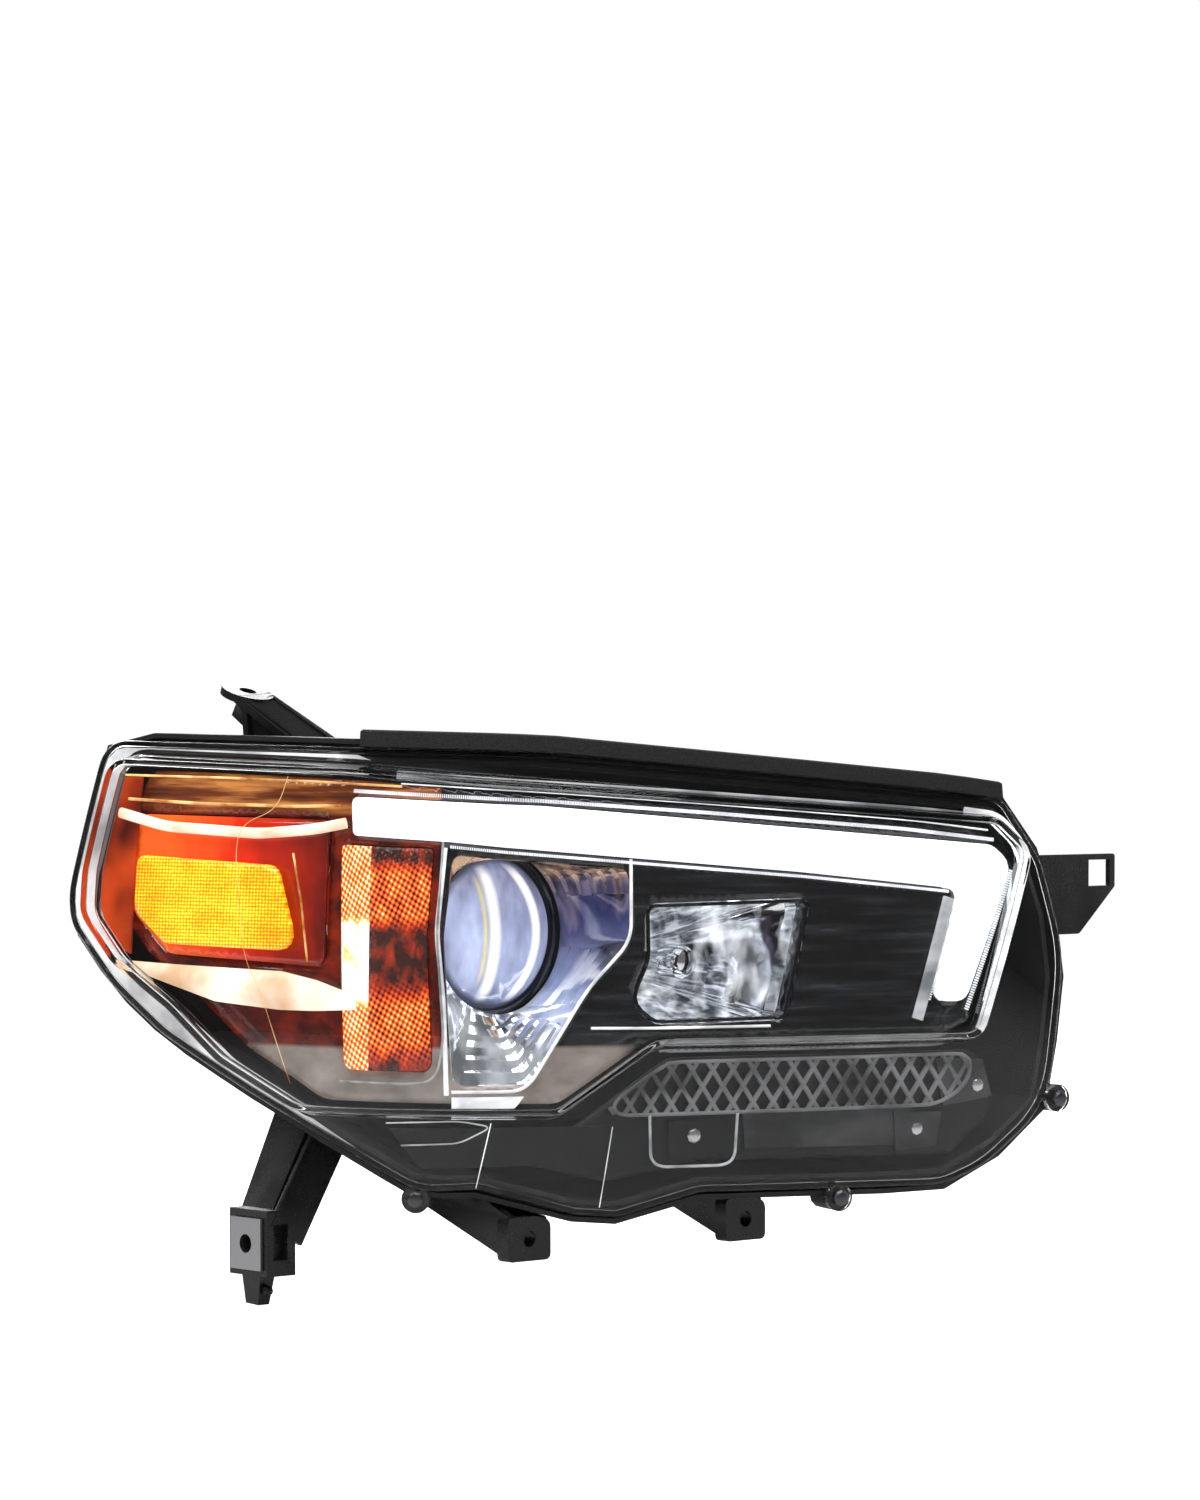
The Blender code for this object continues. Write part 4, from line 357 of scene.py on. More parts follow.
# ---------------------------------------------------------------- materials
class Finish:
    """A material under construction: short calls for the nodes used here."""

    def __init__(self, name):
        self.material = bpy.data.materials.new(name)
        self.material.use_nodes = True
        self.tree = self.material.node_tree
        self.shader = self.tree.nodes["Principled BSDF"]
        self.output = self.tree.nodes["Material Output"]

    def node(self, kind, **values):
        made = self.tree.nodes.new(kind)
        for key, value in values.items():
            setattr(made, key, value)
        return made

    def link(self, source, target):
        self.tree.links.new(source, target)

    def feed(self, source, *names):
        """Link a value to the shader's inputs of those names."""
        for name in names:
            self.link(source, self.shader.inputs[name])

    def glow(self, colour):
        """The same colour by day and glowing from within: lamp light for lamps, painted light for parts that
        are no lamp.
        """
        self.feed(colour, "Base Color", "Emission Color")

    def set(self, **values):
        for key, value in values.items():
            self.shader.inputs[key.replace("_", " ")].default_value = value
        return self

    def coordinates(self, uv=False):
        return self.node("ShaderNodeTexCoord").outputs["UV" if uv else "Object"]

    def mapped(self, scale, uv=False, location=(0, 0, 0)):
        mapping = self.node("ShaderNodeMapping")
        mapping.inputs["Scale"].default_value = scale
        mapping.inputs["Location"].default_value = location
        self.link(self.coordinates(uv), mapping.inputs["Vector"])
        return mapping.outputs["Vector"]

    def noise(self, vector, scale, detail=3.0, roughness=0.5):
        made = self.node("ShaderNodeTexNoise")
        made.inputs["Scale"].default_value = scale
        made.inputs["Detail"].default_value = detail
        made.inputs["Roughness"].default_value = roughness
        self.link(vector, made.inputs["Vector"])
        return made.outputs["Fac"]

    def math(self, operation, a, b=0.0, c=None):
        made = self.node("ShaderNodeMath", operation=operation)
        for socket, value in zip(made.inputs, (a, b, c)):
            if value is None:
                continue
            if isinstance(value, (int, float)):
                socket.default_value = value
            else:
                self.link(value, socket)
        return made.outputs[0]

    def times(self, a, b):
        return self.math("MULTIPLY", a, b)

    def plus(self, a, b):
        return self.math("ADD", a, b)

    def less(self, a, b):
        return self.math("SUBTRACT", a, b)

    def least(self, a, b):
        return self.math("MINIMUM", a, b)

    def most(self, a, b):
        return self.math("MAXIMUM", a, b)

    def scaled(self, a, factor, offset):
        """a times factor, plus offset."""
        return self.math("MULTIPLY_ADD", a, factor, offset)

    def ramp(self, value, stops):
        """Colour ramp: stops are (position, colour)."""
        made = self.node("ShaderNodeValToRGB")
        elements = made.color_ramp.elements
        while len(elements) < len(stops):
            elements.new(0.5)
        for element, (position, colour) in zip(elements, stops):
            element.position = position
            element.color = (*colour, 1.0)
        self.link(value, made.inputs["Fac"])
        return made.outputs["Color"]

    def bump(self, height, strength, distance):
        made = self.node("ShaderNodeBump")
        made.inputs["Strength"].default_value = strength
        made.inputs["Distance"].default_value = distance
        self.link(height, made.inputs["Height"])
        self.feed(made.outputs["Normal"], "Normal")

    def split(self, vector):
        made = self.node("ShaderNodeSeparateXYZ")
        self.link(vector, made.inputs[0])
        return made.outputs

    def clear_to_shadow(self, tint):
        """Shadow rays pass through, so that light reaches what lies behind."""
        mix = self.node("ShaderNodeMixShader")
        path = self.node("ShaderNodeLightPath")
        clear = self.node("ShaderNodeBsdfTransparent")
        clear.inputs["Color"].default_value = tint
        self.link(path.outputs["Is Shadow Ray"], mix.inputs["Fac"])
        self.link(self.shader.outputs["BSDF"], mix.inputs[1])
        self.link(clear.outputs["BSDF"], mix.inputs[2])
        self.link(mix.outputs["Shader"], self.output.inputs["Surface"])
        return self


def black_plastic(name, colour=0.012, rough=0.42, grain=2200.0, grain_strength=0.05):
    """Moulded black polypropylene: fine grain, faint flow marks, roughness that wanders."""
    f = Finish(name)
    where = f.coordinates()
    fine = f.noise(where, grain, 2.0)
    broad = f.noise(where, 38.0, 4.0)
    tone = f.ramp(broad, ((0.3, (colour * 0.75,) * 3), (0.7, (colour * 1.5,) * 3)))
    f.feed(tone, "Base Color")
    wander = f.scaled(broad, 0.22, rough - 0.16)
    f.feed(f.scaled(fine, 0.1, wander), "Roughness")
    if grain_strength:
        f.bump(fine, grain_strength, 0.00006)
    f.set(Specular_IOR_Level=0.3)
    return f.material


def gloss_black(name):
    f = Finish(name)
    broad = f.noise(f.coordinates(), 30.0, 3.0)
    f.feed(f.scaled(broad, 0.06, 0.04), "Roughness")
    f.set(Base_Color=(0.004, 0.004, 0.005, 1), Coat_Weight=0.3, Coat_Roughness=0.03)
    return f.material


def chrome(name, tint=(0.86, 0.88, 0.92), rough=0.06, wave=0.25, wave_scale=60.0, lit=0.0):
    """Vacuum-metallised plastic: bright, with orange peel; where lit is set, painted glints glow in it."""
    f = Finish(name)
    peel = f.noise(f.coordinates(), wave_scale, 2.0)
    f.bump(peel, wave, 0.0006)
    f.set(Base_Color=(*tint, 1), Metallic=1.0)
    f.feed(f.scaled(peel, 0.05, rough), "Roughness")
    if lit:
        # painted glints: spots of emission where the noise is low, scaled by lit
        painted_glint = f.noise(f.mapped((110.0, 90.0, 42.0)), 1.0, 2.0, 0.5)
        painted_glint = f.times(f.most(f.less(painted_glint, 0.47), 0.0), lit)
        f.feed(painted_glint, "Emission Strength")
        f.set(Emission_Color=(0.92, 0.96, 1.0, 1))
    return f.material


def bowl_chrome(name):
    """Metallised bowl with painted reflections: copper high up, violet-blue beside the glass, silver below,
    set as colour and glow, with painted glints.
    """
    f = Finish(name)
    at = f.split(f.coordinates())
    height = f.scaled(f.less(at["Z"], (PROJECTOR[2] - ORIGIN[2]) * MM), 9.0, 0.5)
    drift = f.noise(f.mapped((50.0, 50.0, 24.0)), 1.0, 3.0)
    level = f.scaled(f.less(drift, 0.5), 0.5, height)
    # painted reflection: copper, violet-blue and silver by height, used as colour and as glow
    tint = f.ramp(level, ((0.18, (0.80, 0.84, 0.90)), (0.36, (0.34, 0.37, 0.50)), (0.58, (0.08, 0.08, 0.17)),
                          (0.70, (0.20, 0.16, 0.20)), (0.80, (0.78, 0.50, 0.32)), (0.95, (0.45, 0.34, 0.30))))
    f.glow(tint)
    # painted glints: brighter emission where the noise is low
    painted_glint = f.most(f.less(drift, 0.45), 0.0)
    f.feed(f.times(painted_glint, 2.2), "Emission Strength")
    f.set(Metallic=1.0, Roughness=0.07)
    f.bump(drift, 0.3, 0.0008)
    return f.material


def clear_cover(name):
    """Hard-coated clear polycarbonate."""
    f = Finish(name)
    f.set(Base_Color=(0.985, 0.99, 0.99, 1), Roughness=0.0, IOR=1.28, Transmission_Weight=1.0)
    return f.clear_to_shadow((0.97, 0.97, 0.97, 1)).material


def metal(name, colour, rough=0.25):
    f = Finish(name)
    grain = f.noise(f.coordinates(), 900.0, 3.0)
    f.feed(f.scaled(grain, 0.2, rough - 0.1), "Roughness")
    f.set(Base_Color=(*colour, 1), Metallic=1.0)
    f.bump(grain, 0.1, 0.0001)
    return f.material


def rubber(name, colour=0.02):
    f = Finish(name)
    fine = f.noise(f.coordinates(), 1500.0, 3.0)
    broad = f.noise(f.coordinates(), 45.0, 3.0)
    f.feed(f.ramp(broad, ((0.3, (colour * 0.8,) * 3), (0.7, (colour * 1.5,) * 3))), "Base Color")
    f.set(Roughness=0.75)
    f.bump(fine, 0.35, 0.0001)
    return f.material


def foam(name):
    """Open-cell foam: round pores a third of a millimetre wide, painted darker towards their middles as
    painted shade in the hollows.
    """
    f = Finish(name)
    cells = f.node("ShaderNodeTexVoronoi")
    cells.inputs["Scale"].default_value = 1900.0
    f.link(f.coordinates(), cells.inputs["Vector"])
    pores = f.least(cells.outputs["Distance"], 0.6)
    # painted shade: the pores are darker towards their middles
    f.feed(f.ramp(pores, ((0.0, (0.003, 0.003, 0.003)), (0.6, (0.035, 0.035, 0.037)))), "Base Color")
    f.set(Roughness=0.95, Specular_IOR_Level=0.2)
    f.bump(pores, 0.8, 0.0003)
    return f.material


def running_light(name):
    """Lit light guide: white, with fine ribs across it that show at its edges."""
    f = Finish(name)
    at = f.split(f.coordinates(uv=True))
    ribs = f.math("SINE", f.times(f.plus(at["X"], f.times(at["Y"], 0.12)), 420.0))
    wander = f.noise(f.mapped((9.0, 30.0, 1.0), uv=True), 1.0, 2.0)
    off_line = f.less(f.scaled(at["X"], -0.085, at["Y"]), 2.185)
    bar = f.least(f.times(f.math("ABSOLUTE", off_line), 9.0), 1.0)
    level = f.scaled(ribs, f.times(bar, 0.35), f.scaled(wander, 0.4, 0.72))
    f.feed(level, "Emission Strength")
    f.set(Base_Color=(0.9, 0.93, 0.97, 1), Emission_Color=(0.93, 0.965, 1.0, 1), Roughness=0.3)
    f.bump(ribs, 0.5, 0.0004)
    return f.material


def band(f, value, low, high, soft):
    """1 where low < value < high, easing over soft at both ends."""
    rise = f.times(f.less(value, low), 1.0 / soft)
    fall = f.times(f.less(high, value), 1.0 / soft)
    both = f.least(rise, fall)
    return f.least(f.most(both, 0.0), 1.0)


def blended(f, share, first, second):
    """Colour first where share is 0 and second where it is 1; each is a colour or a socket."""
    mix = f.node("ShaderNodeMix", data_type="RGBA")
    f.link(share, mix.inputs["Factor"])
    for socket, colour in zip((mix.inputs[6], mix.inputs[7]), (first, second)):
        if isinstance(colour, tuple):
            socket.default_value = (*colour, 1.0)
        else:
            f.link(colour, socket)
    return mix.outputs[2]


def dark_cover(name):
    """Inner cover: gloss black inboard, deep amber round the side lamps, and a paler grey-brown band along
    its foot that is a painted reflection of the floor; the whole cover glows faintly, painted light.
    """
    f = Finish(name)
    at = f.split(f.coordinates(uv=True))
    s, z = at["X"], at["Y"]
    shade = f.noise(f.mapped((2.2, 3.4, 1.0), uv=True), 2.0, 4.0)
    streak = f.noise(f.mapped((0.7, 9.0, 1.0), uv=True), 2.0, 4.0)
    inboard = f.ramp(streak, ((0.45, (0.0025, 0.0025, 0.003)), (0.62, (0.012, 0.013, 0.015)),
                              (0.8, (0.06, 0.064, 0.07))))
    deep = f.ramp(shade, ((0.3, (0.010, 0.0008, 0.0002)), (0.52, (0.075, 0.004, 0.0006)),
                          (0.72, (0.22, 0.014, 0.001))))
    upper = f.ramp(streak, ((0.3, (0.012, 0.003, 0.001)), (0.5, (0.14, 0.03, 0.006)),
                            (0.66, (0.5, 0.2, 0.05))))
    side = band(f, s, 3.27, 9.0, 0.03)
    colour = blended(f, side, inboard, deep)
    colour = blended(f, f.times(side, band(f, z, 2.42, 3.0, 0.05)), colour, upper)
    # painted reflection of the floor: a pale grey-brown band along the foot
    left_end = f.scaled(f.less(1.31, z), -1.3, 4.55)
    foot = f.times(band(f, z, 0.8, 1.30, 0.02), band(f, s, 2.2, left_end, 0.12))
    cloud = f.ramp(shade, ((0.3, (0.13, 0.105, 0.09)), (0.7, (0.25, 0.215, 0.19))))
    colour = blended(f, foot, colour, cloud)
    # painted light: the whole cover glows though it is no lamp
    f.glow(colour)
    f.set(Emission_Strength=0.5, Roughness=0.07, Coat_Weight=0.4, Coat_Roughness=0.03)
    return f.material


def reflex_amber(name):
    """Reflex reflector: bright yellow-amber with a fine honeycomb of corner cubes, glowing by its tone:
    painted light, as it has no lamp.
    """
    f = Finish(name)
    where = f.mapped((40.0, 46.0, 1.0), uv=True)
    cells = f.node("ShaderNodeTexVoronoi")
    cells.inputs["Scale"].default_value = 1.25
    cells.inputs["Randomness"].default_value = 0.15
    f.link(where, cells.inputs["Vector"])
    cloud = f.noise(f.mapped((2.4, 4.0, 1.0), uv=True), 1.6, 3.0)
    speck = f.noise(where, 3.0, 2.0)
    tone = f.plus(f.scaled(cells.outputs["Distance"], -0.95, 0.62),
                  f.scaled(cloud, 0.6, f.scaled(speck, 0.3, -0.22)))
    colour = f.ramp(tone, ((0.1, (0.75, 0.14, 0.0)), (0.38, (0.95, 0.34, 0.0)), (0.62, (1.0, 0.62, 0.005)),
                           (0.9, (1.0, 0.86, 0.16))))
    f.glow(colour)
    f.set(Roughness=0.18, Coat_Weight=0.6, Coat_Roughness=0.05)
    # painted light: the reflector glows with its tone though it has no lamp
    f.feed(f.scaled(tone, 0.9, 0.15), "Emission Strength")
    f.bump(cells.outputs["Distance"], 0.5, 0.0004)
    return f.material


def side_amber(name):
    """Side marker cover round the reflector: red-orange, glowing from within."""
    f = Finish(name)
    at = f.split(f.coordinates(uv=True))
    cloud = f.noise(f.mapped((3.0, 2.0, 1.0), uv=True), 2.0, 3.0)
    fade = f.scaled(f.less(at["X"], 3.98), 0.9, f.scaled(cloud, 0.4, -0.12))
    colour = f.ramp(fade, ((0.05, (0.10, 0.003, 0.0)), (0.32, (0.36, 0.010, 0.0)),
                           (0.6, (0.70, 0.025, 0.001)), (1.0, (0.95, 0.13, 0.01))))
    f.glow(colour)
    f.set(Emission_Strength=0.3, Roughness=0.1, Coat_Weight=0.6, Coat_Roughness=0.03)
    return f.material


def turn_amber(name):
    """Turn-signal lens: dotted pillow optics, white-hot midway up its outboard strip."""
    f = Finish(name)
    at = f.split(f.coordinates(uv=True))
    s, z = at["X"], at["Y"]
    rows = f.math("SINE", f.scaled(z, 150.0, f.times(s, 50.0)))
    columns = f.math("SINE", f.scaled(s, 170.0, f.times(z, -50.0)))
    pillows = f.times(rows, columns)
    cloud = f.noise(f.mapped((5.0, 3.0, 1.0), uv=True), 2.4, 4.0)
    strip = f.math("GREATER_THAN", s, 3.69)
    hot = f.times(strip, band(f, z, 1.40, 2.02, 0.14))
    ends = f.scaled(pillows, 0.4, f.scaled(cloud, 0.6, 0.28))
    strip_tone = f.most(ends, f.scaled(cloud, 1.2, f.scaled(hot, 1.3, -0.95)))
    low = band(f, z, 1.2, 1.62, 0.12)
    high = band(f, z, 1.86, 2.22, 0.08)
    lit = f.most(f.times(low, 0.36), f.times(high, 0.34))
    rest = f.scaled(f.times(pillows, lit), 1.1,
                  f.scaled(cloud, 0.9, f.less(lit, 0.42)))
    chosen = f.node("ShaderNodeMix", data_type="FLOAT")
    f.link(strip, chosen.inputs[0])
    f.link(rest, chosen.inputs[2])
    f.link(strip_tone, chosen.inputs[3])
    colour = f.ramp(chosen.outputs[0], ((0.0, (0.025, 0.002, 0.0)), (0.2, (0.30, 0.018, 0.0)),
                                        (0.40, (0.85, 0.075, 0.001)), (0.60, (1.0, 0.26, 0.015)),
                                        (0.78, (1.0, 0.60, 0.22)), (0.92, (1.0, 0.95, 0.88))))
    f.glow(colour)
    f.set(Emission_Strength=0.8, Roughness=0.15, Coat_Weight=0.3, Coat_Roughness=0.04)
    f.bump(pillows, 0.6, 0.0006)
    return f.material


def lit_glass(name):
    """Lit projector glass: lavender haze with two bright crescents, in units of its radius.

    u and v are the places across and up; a crescent is where u lies between
    a + b (1 - v^2) and the same a little further.
    """
    f = Finish(name)
    at = f.split(f.coordinates())
    centre = [(a - b) * MM for a, b in zip((PROJECTOR[0], PROJECTOR[2]), (ORIGIN[0], ORIGIN[2]))]
    u = f.times(f.less(at["X"], centre[0]), 1.0 / (GLASS_RADIUS * MM))
    v = f.times(f.less(at["Z"], centre[1]), 1.0 / (GLASS_RADIUS * MM))
    bow = f.less(1.0, f.times(v, v))
    right = f.less(u, f.scaled(bow, 0.5, -0.02))
    left = f.less(u, f.scaled(bow, 0.12, -0.30))
    wave = f.noise(f.mapped((40.0, 40.0, 18.0)), 1.5, 3.0)
    crescents = f.most(band(f, right, -0.02, 0.22, 0.07), band(f, left, -0.12, 0.12, 0.1))
    crescents = f.times(crescents, band(f, v, -0.92, 0.92, 0.2))
    haze = f.scaled(wave, 0.9, f.scaled(bow, 0.25, -0.22))
    colour = f.ramp(haze, ((0.0, (0.03, 0.035, 0.06)), (0.3, (0.17, 0.19, 0.32)), (0.55, (0.40, 0.45, 0.66)),
                           (0.8, (0.85, 0.9, 1.0))))
    colour = blended(f, crescents, colour, (1.0, 1.0, 1.0))
    fringe = f.times(band(f, left, -0.2, -0.1, 0.04), band(f, v, -0.7, 0.8, 0.2))
    colour = blended(f, f.times(fringe, 0.5), colour, (0.9, 0.72, 0.12))
    edge = band(f, f.plus(f.times(u, u), f.times(v, v)), -1.0, 0.93, 0.12)
    colour = blended(f, edge, (0.06, 0.07, 0.10), colour)
    f.glow(colour)
    f.set(Emission_Strength=0.95, Roughness=0.02, Coat_Weight=1.0, Coat_Roughness=0.0)
    return f.material


def lit_plastic(name, ends, strength=0.7, rough=0.12, scale=(1.2, 3.0, 1.0)):
    """Bright moulded strip that glows: painted light standing for light falling on it from beside; its tone
    drifts between the two given colours.
    """
    f = Finish(name)
    drift = f.noise(f.mapped((scale[0] * 9, scale[1] * 9, scale[1] * 9)), 2.0, 3.0)
    colour = f.ramp(drift, ((0.35, ends[0]), (0.62, ends[1])))
    f.glow(colour)
    f.set(Emission_Strength=strength, Roughness=rough, Specular_IOR_Level=0.25)
    return f.material


def projector_glow(name):
    """Lit inside of the projector: blue-white, brightest towards the inboard wall."""
    f = Finish(name)
    at = f.split(f.coordinates())
    centre = (PROJECTOR[0] - ORIGIN[0]) * MM
    across = f.scaled(f.less(at["X"], centre), 14.0, 0.5)
    streak = f.noise(f.mapped((60.0, 20.0, 12.0)), 2.0, 2.0)
    level = f.scaled(streak, 0.5, f.less(across, 0.25))
    colour = f.ramp(level, ((0.0, (0.10, 0.12, 0.22)), (0.45, (0.30, 0.36, 0.62)), (0.7, (0.75, 0.85, 1.0)),
                            (0.95, (1.0, 1.0, 1.0))))
    f.feed(colour, "Emission Color")
    f.feed(f.scaled(level, 2.2, 0.1), "Emission Strength")
    f.set(Base_Color=(0.5, 0.55, 0.65, 1), Metallic=0.8, Roughness=0.2)
    return f.material


BLACK = black_plastic("grained_black_plastic")
SMOOTH_BLACK = black_plastic("smooth_black_plastic", 0.010, 0.26, 900.0, 0.08)
GLOSS = gloss_black("polished_black_plastic")
CHROME = chrome("metallised_plastic_plain")
BOWL = bowl_chrome("metallised_bowl_painted_reflections")
DARK_CHROME = chrome("dark_chrome", (0.10, 0.105, 0.13), 0.12)
BRIGHT = chrome("metallised_facets_painted_glints", rough=0.04, wave=0.4, wave_scale=45.0, lit=2.6)
CLEAR = clear_cover("clear_polycarbonate")
ZINC = metal("zinc_plated_steel", (0.62, 0.62, 0.64))
STEEL = metal("spring_steel", (0.35, 0.35, 0.36), 0.35)
RUBBER = rubber("moulded_rubber")
FOAM = foam("foam_seal")
LIGHT = running_light("running_light_guide")
COVER = dark_cover("inner_cover")
REFLEX = reflex_amber("reflex_amber")
SIDE = side_amber("side_marker_amber")
TURN = turn_amber("turn_signal_amber")
GLOW = projector_glow("projector_glow")
NYLON = black_plastic("natural_nylon", 0.42, 0.45, 1200.0, 0.2)
DEEP_BLACK = black_plastic("deep_black_plastic", 0.004, 0.5, 2200.0, 0.0)
HOUSING_BLACK = black_plastic("housing_black_plastic", 0.010, 0.5, 1400.0, 0.0)
# The grey, cream, amber, golden, white and pale finishes below glow though no lamp is in them: painted
# highlights, reflections and light.
GRILLE_GREY = lit_plastic("grille_grey_plastic_painted_light", ((0.04, 0.04, 0.041), (0.14, 0.14, 0.145)), 0.6, 0.4)
PLATE_GREY = lit_plastic("grey_plate_plastic_painted_light", ((0.012, 0.012, 0.013), (0.04, 0.04, 0.042)), 0.4, 0.35)
CREAM = lit_plastic("cream_ledge_painted_reflection", ((0.62, 0.38, 0.22), (0.95, 0.86, 0.72)), 0.62, 0.12, (0.8, 1.5, 1.0))
END_AMBER = lit_plastic("end_amber_painted_light", ((0.05, 0.002, 0.0005), (0.62, 0.06, 0.006)), 0.4, 0.12, (0.5, 1.0, 1.0))
GOLD = lit_plastic("golden_edge_painted_highlight", ((0.35, 0.12, 0.02), (0.95, 0.62, 0.25)), 0.5)
WHITE_EDGE = lit_plastic("white_edge_painted_highlight", ((0.45, 0.46, 0.48), (1.0, 1.0, 1.0)), 0.6)
GREY_EDGE = lit_plastic("grey_edge_painted_highlight", ((0.16, 0.17, 0.18), (0.5, 0.51, 0.53)), 0.4)
SKIRT = lit_plastic("pale_skirt_painted_light", ((0.32, 0.32, 0.33), (0.85, 0.85, 0.86)), 0.35, 0.3, (0.6, 1.5, 1.0))
RIB_WHITE = lit_plastic("rib_white_painted_light", ((0.55, 0.56, 0.58), (0.95, 0.96, 1.0)), 0.6)
DARK_STEEL = metal("blackened_screw", (0.10, 0.10, 0.11), 0.35)


def dress(made, material, body="housing"):
    """Give a piece its material and body."""
    made.data.materials.clear()
    made.data.materials.append(material)
    if made.parent is None:
        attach(made, body)
    return made


# ---------------------------------------------------------------- camera, light and floor
VIEW_TARGET = (-0.0895, 0.012, 0.127)
VIEW_AZIMUTH = math.radians(-42.0)
VIEW_ELEVATION = math.radians(3.0)
VIEW_DISTANCE = 2.4
VIEW_LENS = 115.2
VIEW_SHIFT_Y = 0.16
FLOOR_Z = -0.0305
FLOOR_RADIUS = 3.2
BOUNCED_WORLD = 0.16                     # the backdrop's strength once a ray has bounced


def unbounced(tree, path):
    """1 for rays that have met nothing but clear pieces on their way from the eye, else 0."""
    total = tree.nodes.new("ShaderNodeMath")
    total.operation = "ADD"
    tree.links.new(path.outputs["Glossy Depth"], total.inputs[0])
    tree.links.new(path.outputs["Diffuse Depth"], total.inputs[1])
    straight = tree.nodes.new("ShaderNodeMath")
    straight.operation = "LESS_THAN"
    straight.inputs[1].default_value = 0.5
    tree.links.new(total.outputs[0], straight.inputs[0])
    return straight.outputs[0]


def studio():
    """Camera, pale floor, white backdrop and soft lights."""
    scene = bpy.context.scene
    back = Vector((math.sin(VIEW_AZIMUTH) * math.cos(VIEW_ELEVATION),
                   -math.cos(VIEW_AZIMUTH) * math.cos(VIEW_ELEVATION), math.sin(VIEW_ELEVATION)))
    camera = bpy.data.objects.new("camera", bpy.data.cameras.new("camera"))
    camera.data.lens = VIEW_LENS
    camera.data.sensor_width = 36.0
    camera.data.shift_y = VIEW_SHIFT_Y
    camera.location = Vector(VIEW_TARGET) + back * VIEW_DISTANCE
    camera.rotation_mode = "QUATERNION"
    camera.rotation_quaternion = (-back).to_track_quat("-Z", "Y")
    scene.collection.objects.link(camera)
    scene.camera = camera

    world = bpy.data.worlds.new("studio")
    world.use_nodes = True
    scene.world = world
    tree = world.node_tree
    background = tree.nodes["Background"]
    seen = unbounced(tree, tree.nodes.new("ShaderNodeLightPath"))
    level = tree.nodes.new("ShaderNodeMapRange")
    level.inputs["To Min"].default_value = BOUNCED_WORLD
    level.inputs["To Max"].default_value = 1.0
    tree.links.new(seen, level.inputs["Value"])
    tree.links.new(level.outputs["Result"], background.inputs["Strength"])
    background.inputs["Color"].default_value = (1.0, 1.0, 1.0, 1.0)

    angle = np.linspace(0, 2 * math.pi, 96, endpoint=False)
    rings = np.array([0.0, 0.4, 1.0, 2.0, FLOOR_RADIUS])
    grid = np.stack([rings[:, None] * np.cos(angle), rings[:, None] * np.sin(angle),
                     np.full((len(rings), len(angle)), FLOOR_Z)], -1)
    floor = grid_piece("floor", grid)
    pale = Finish("pale_floor")
    pale.set(Base_Color=(0.9, 0.9, 0.9, 1), Roughness=0.8, Emission_Color=(1, 1, 1, 1))
    straight = unbounced(pale.tree, pale.node("ShaderNodeLightPath"))
    pale.link(pale.math("MULTIPLY", straight, 0.9), pale.shader.inputs["Emission Strength"])
    floor.data.materials.append(pale.material)

    def softbox(name, place, size, energy):
        light = bpy.data.lights.new(name, "AREA")
        light.shape = "RECTANGLE"
        light.size, light.size_y = size
        light.energy = energy
        made = bpy.data.objects.new(name, light)
        made.location = place
        made.rotation_mode = "QUATERNION"
        made.rotation_quaternion = (Vector(VIEW_TARGET) - Vector(place)).to_track_quat("-Z", "Y")
        scene.collection.objects.link(made)

    softbox("overhead", (-0.5, -0.6, 1.9), (1.8, 1.0), 26.0)
    softbox("right_strip", (1.7, -0.7, 0.6), (0.5, 1.6), 9.0)
    softbox("left_high", (-1.7, 0.5, 1.5), (0.9, 0.6), 10.0)
    softbox("rear", (0.6, 1.9, 1.2), (1.6, 1.0), 34.0)
    scene.view_settings.view_transform = "Standard"
    scene.view_settings.look = "None"


# ---------------------------------------------------------------- outer lens
def lens_rings():
    """Rings of the outer skin, from the middle of the raised face to the rim's rear edge.

    The face is polar: ring t is centre + t (outline - centre).  Then a quarter-round
    edge, the drafted step, a small fillet, the flange, its round and the rim.
    """
    face = matched(FACE_CORNERS, FACE_ANCHORS)
    flange = matched(FLANGE_CORNERS, FLANGE_ANCHORS)
    centre = np.array(FACE_CENTRE)

    def at(loop, depth):
        return surface(loop[:, 0], loop[:, 1], depth)

    def skin(inset, front, edge, foot):
        """One side of the shell: inset from the outline, its depths, its edge radius."""
        rings = []
        head = grow(face, -inset - edge)
        for t in np.linspace(0.0, 1.0, 42) ** 0.8:
            rings.append(at(centre + (head - centre) * t, front))
        for a in np.radians((22, 45, 68, 90)):
            rings.append(at(grow(face, -inset - edge * (1 - math.sin(a))), front + edge * (1 - math.cos(a))))
        rings.append(at(grow(face, 2.0 - inset), foot - 1.2))
        rings.append(at(grow(face, 2.4 - inset), foot - 0.3))
        rings.append(at(grow(face, 3.4 - inset), foot))
        for a in np.radians((0, 30, 60, 90)):
            rings.append(at(grow(flange, -inset - edge * (1 - math.sin(a))), foot + edge * (1 - math.cos(a))))
        rings.append(at(grow(flange, -inset), RIM_END_DEPTH))
        return rings

    outer = skin(0.0, 0.0, 2.5, FLANGE_DEPTH)
    inner = skin(LENS_WALL, LENS_WALL, 1.2, FLANGE_DEPTH + LENS_WALL)
    return np.array(outer + inner[::-1])


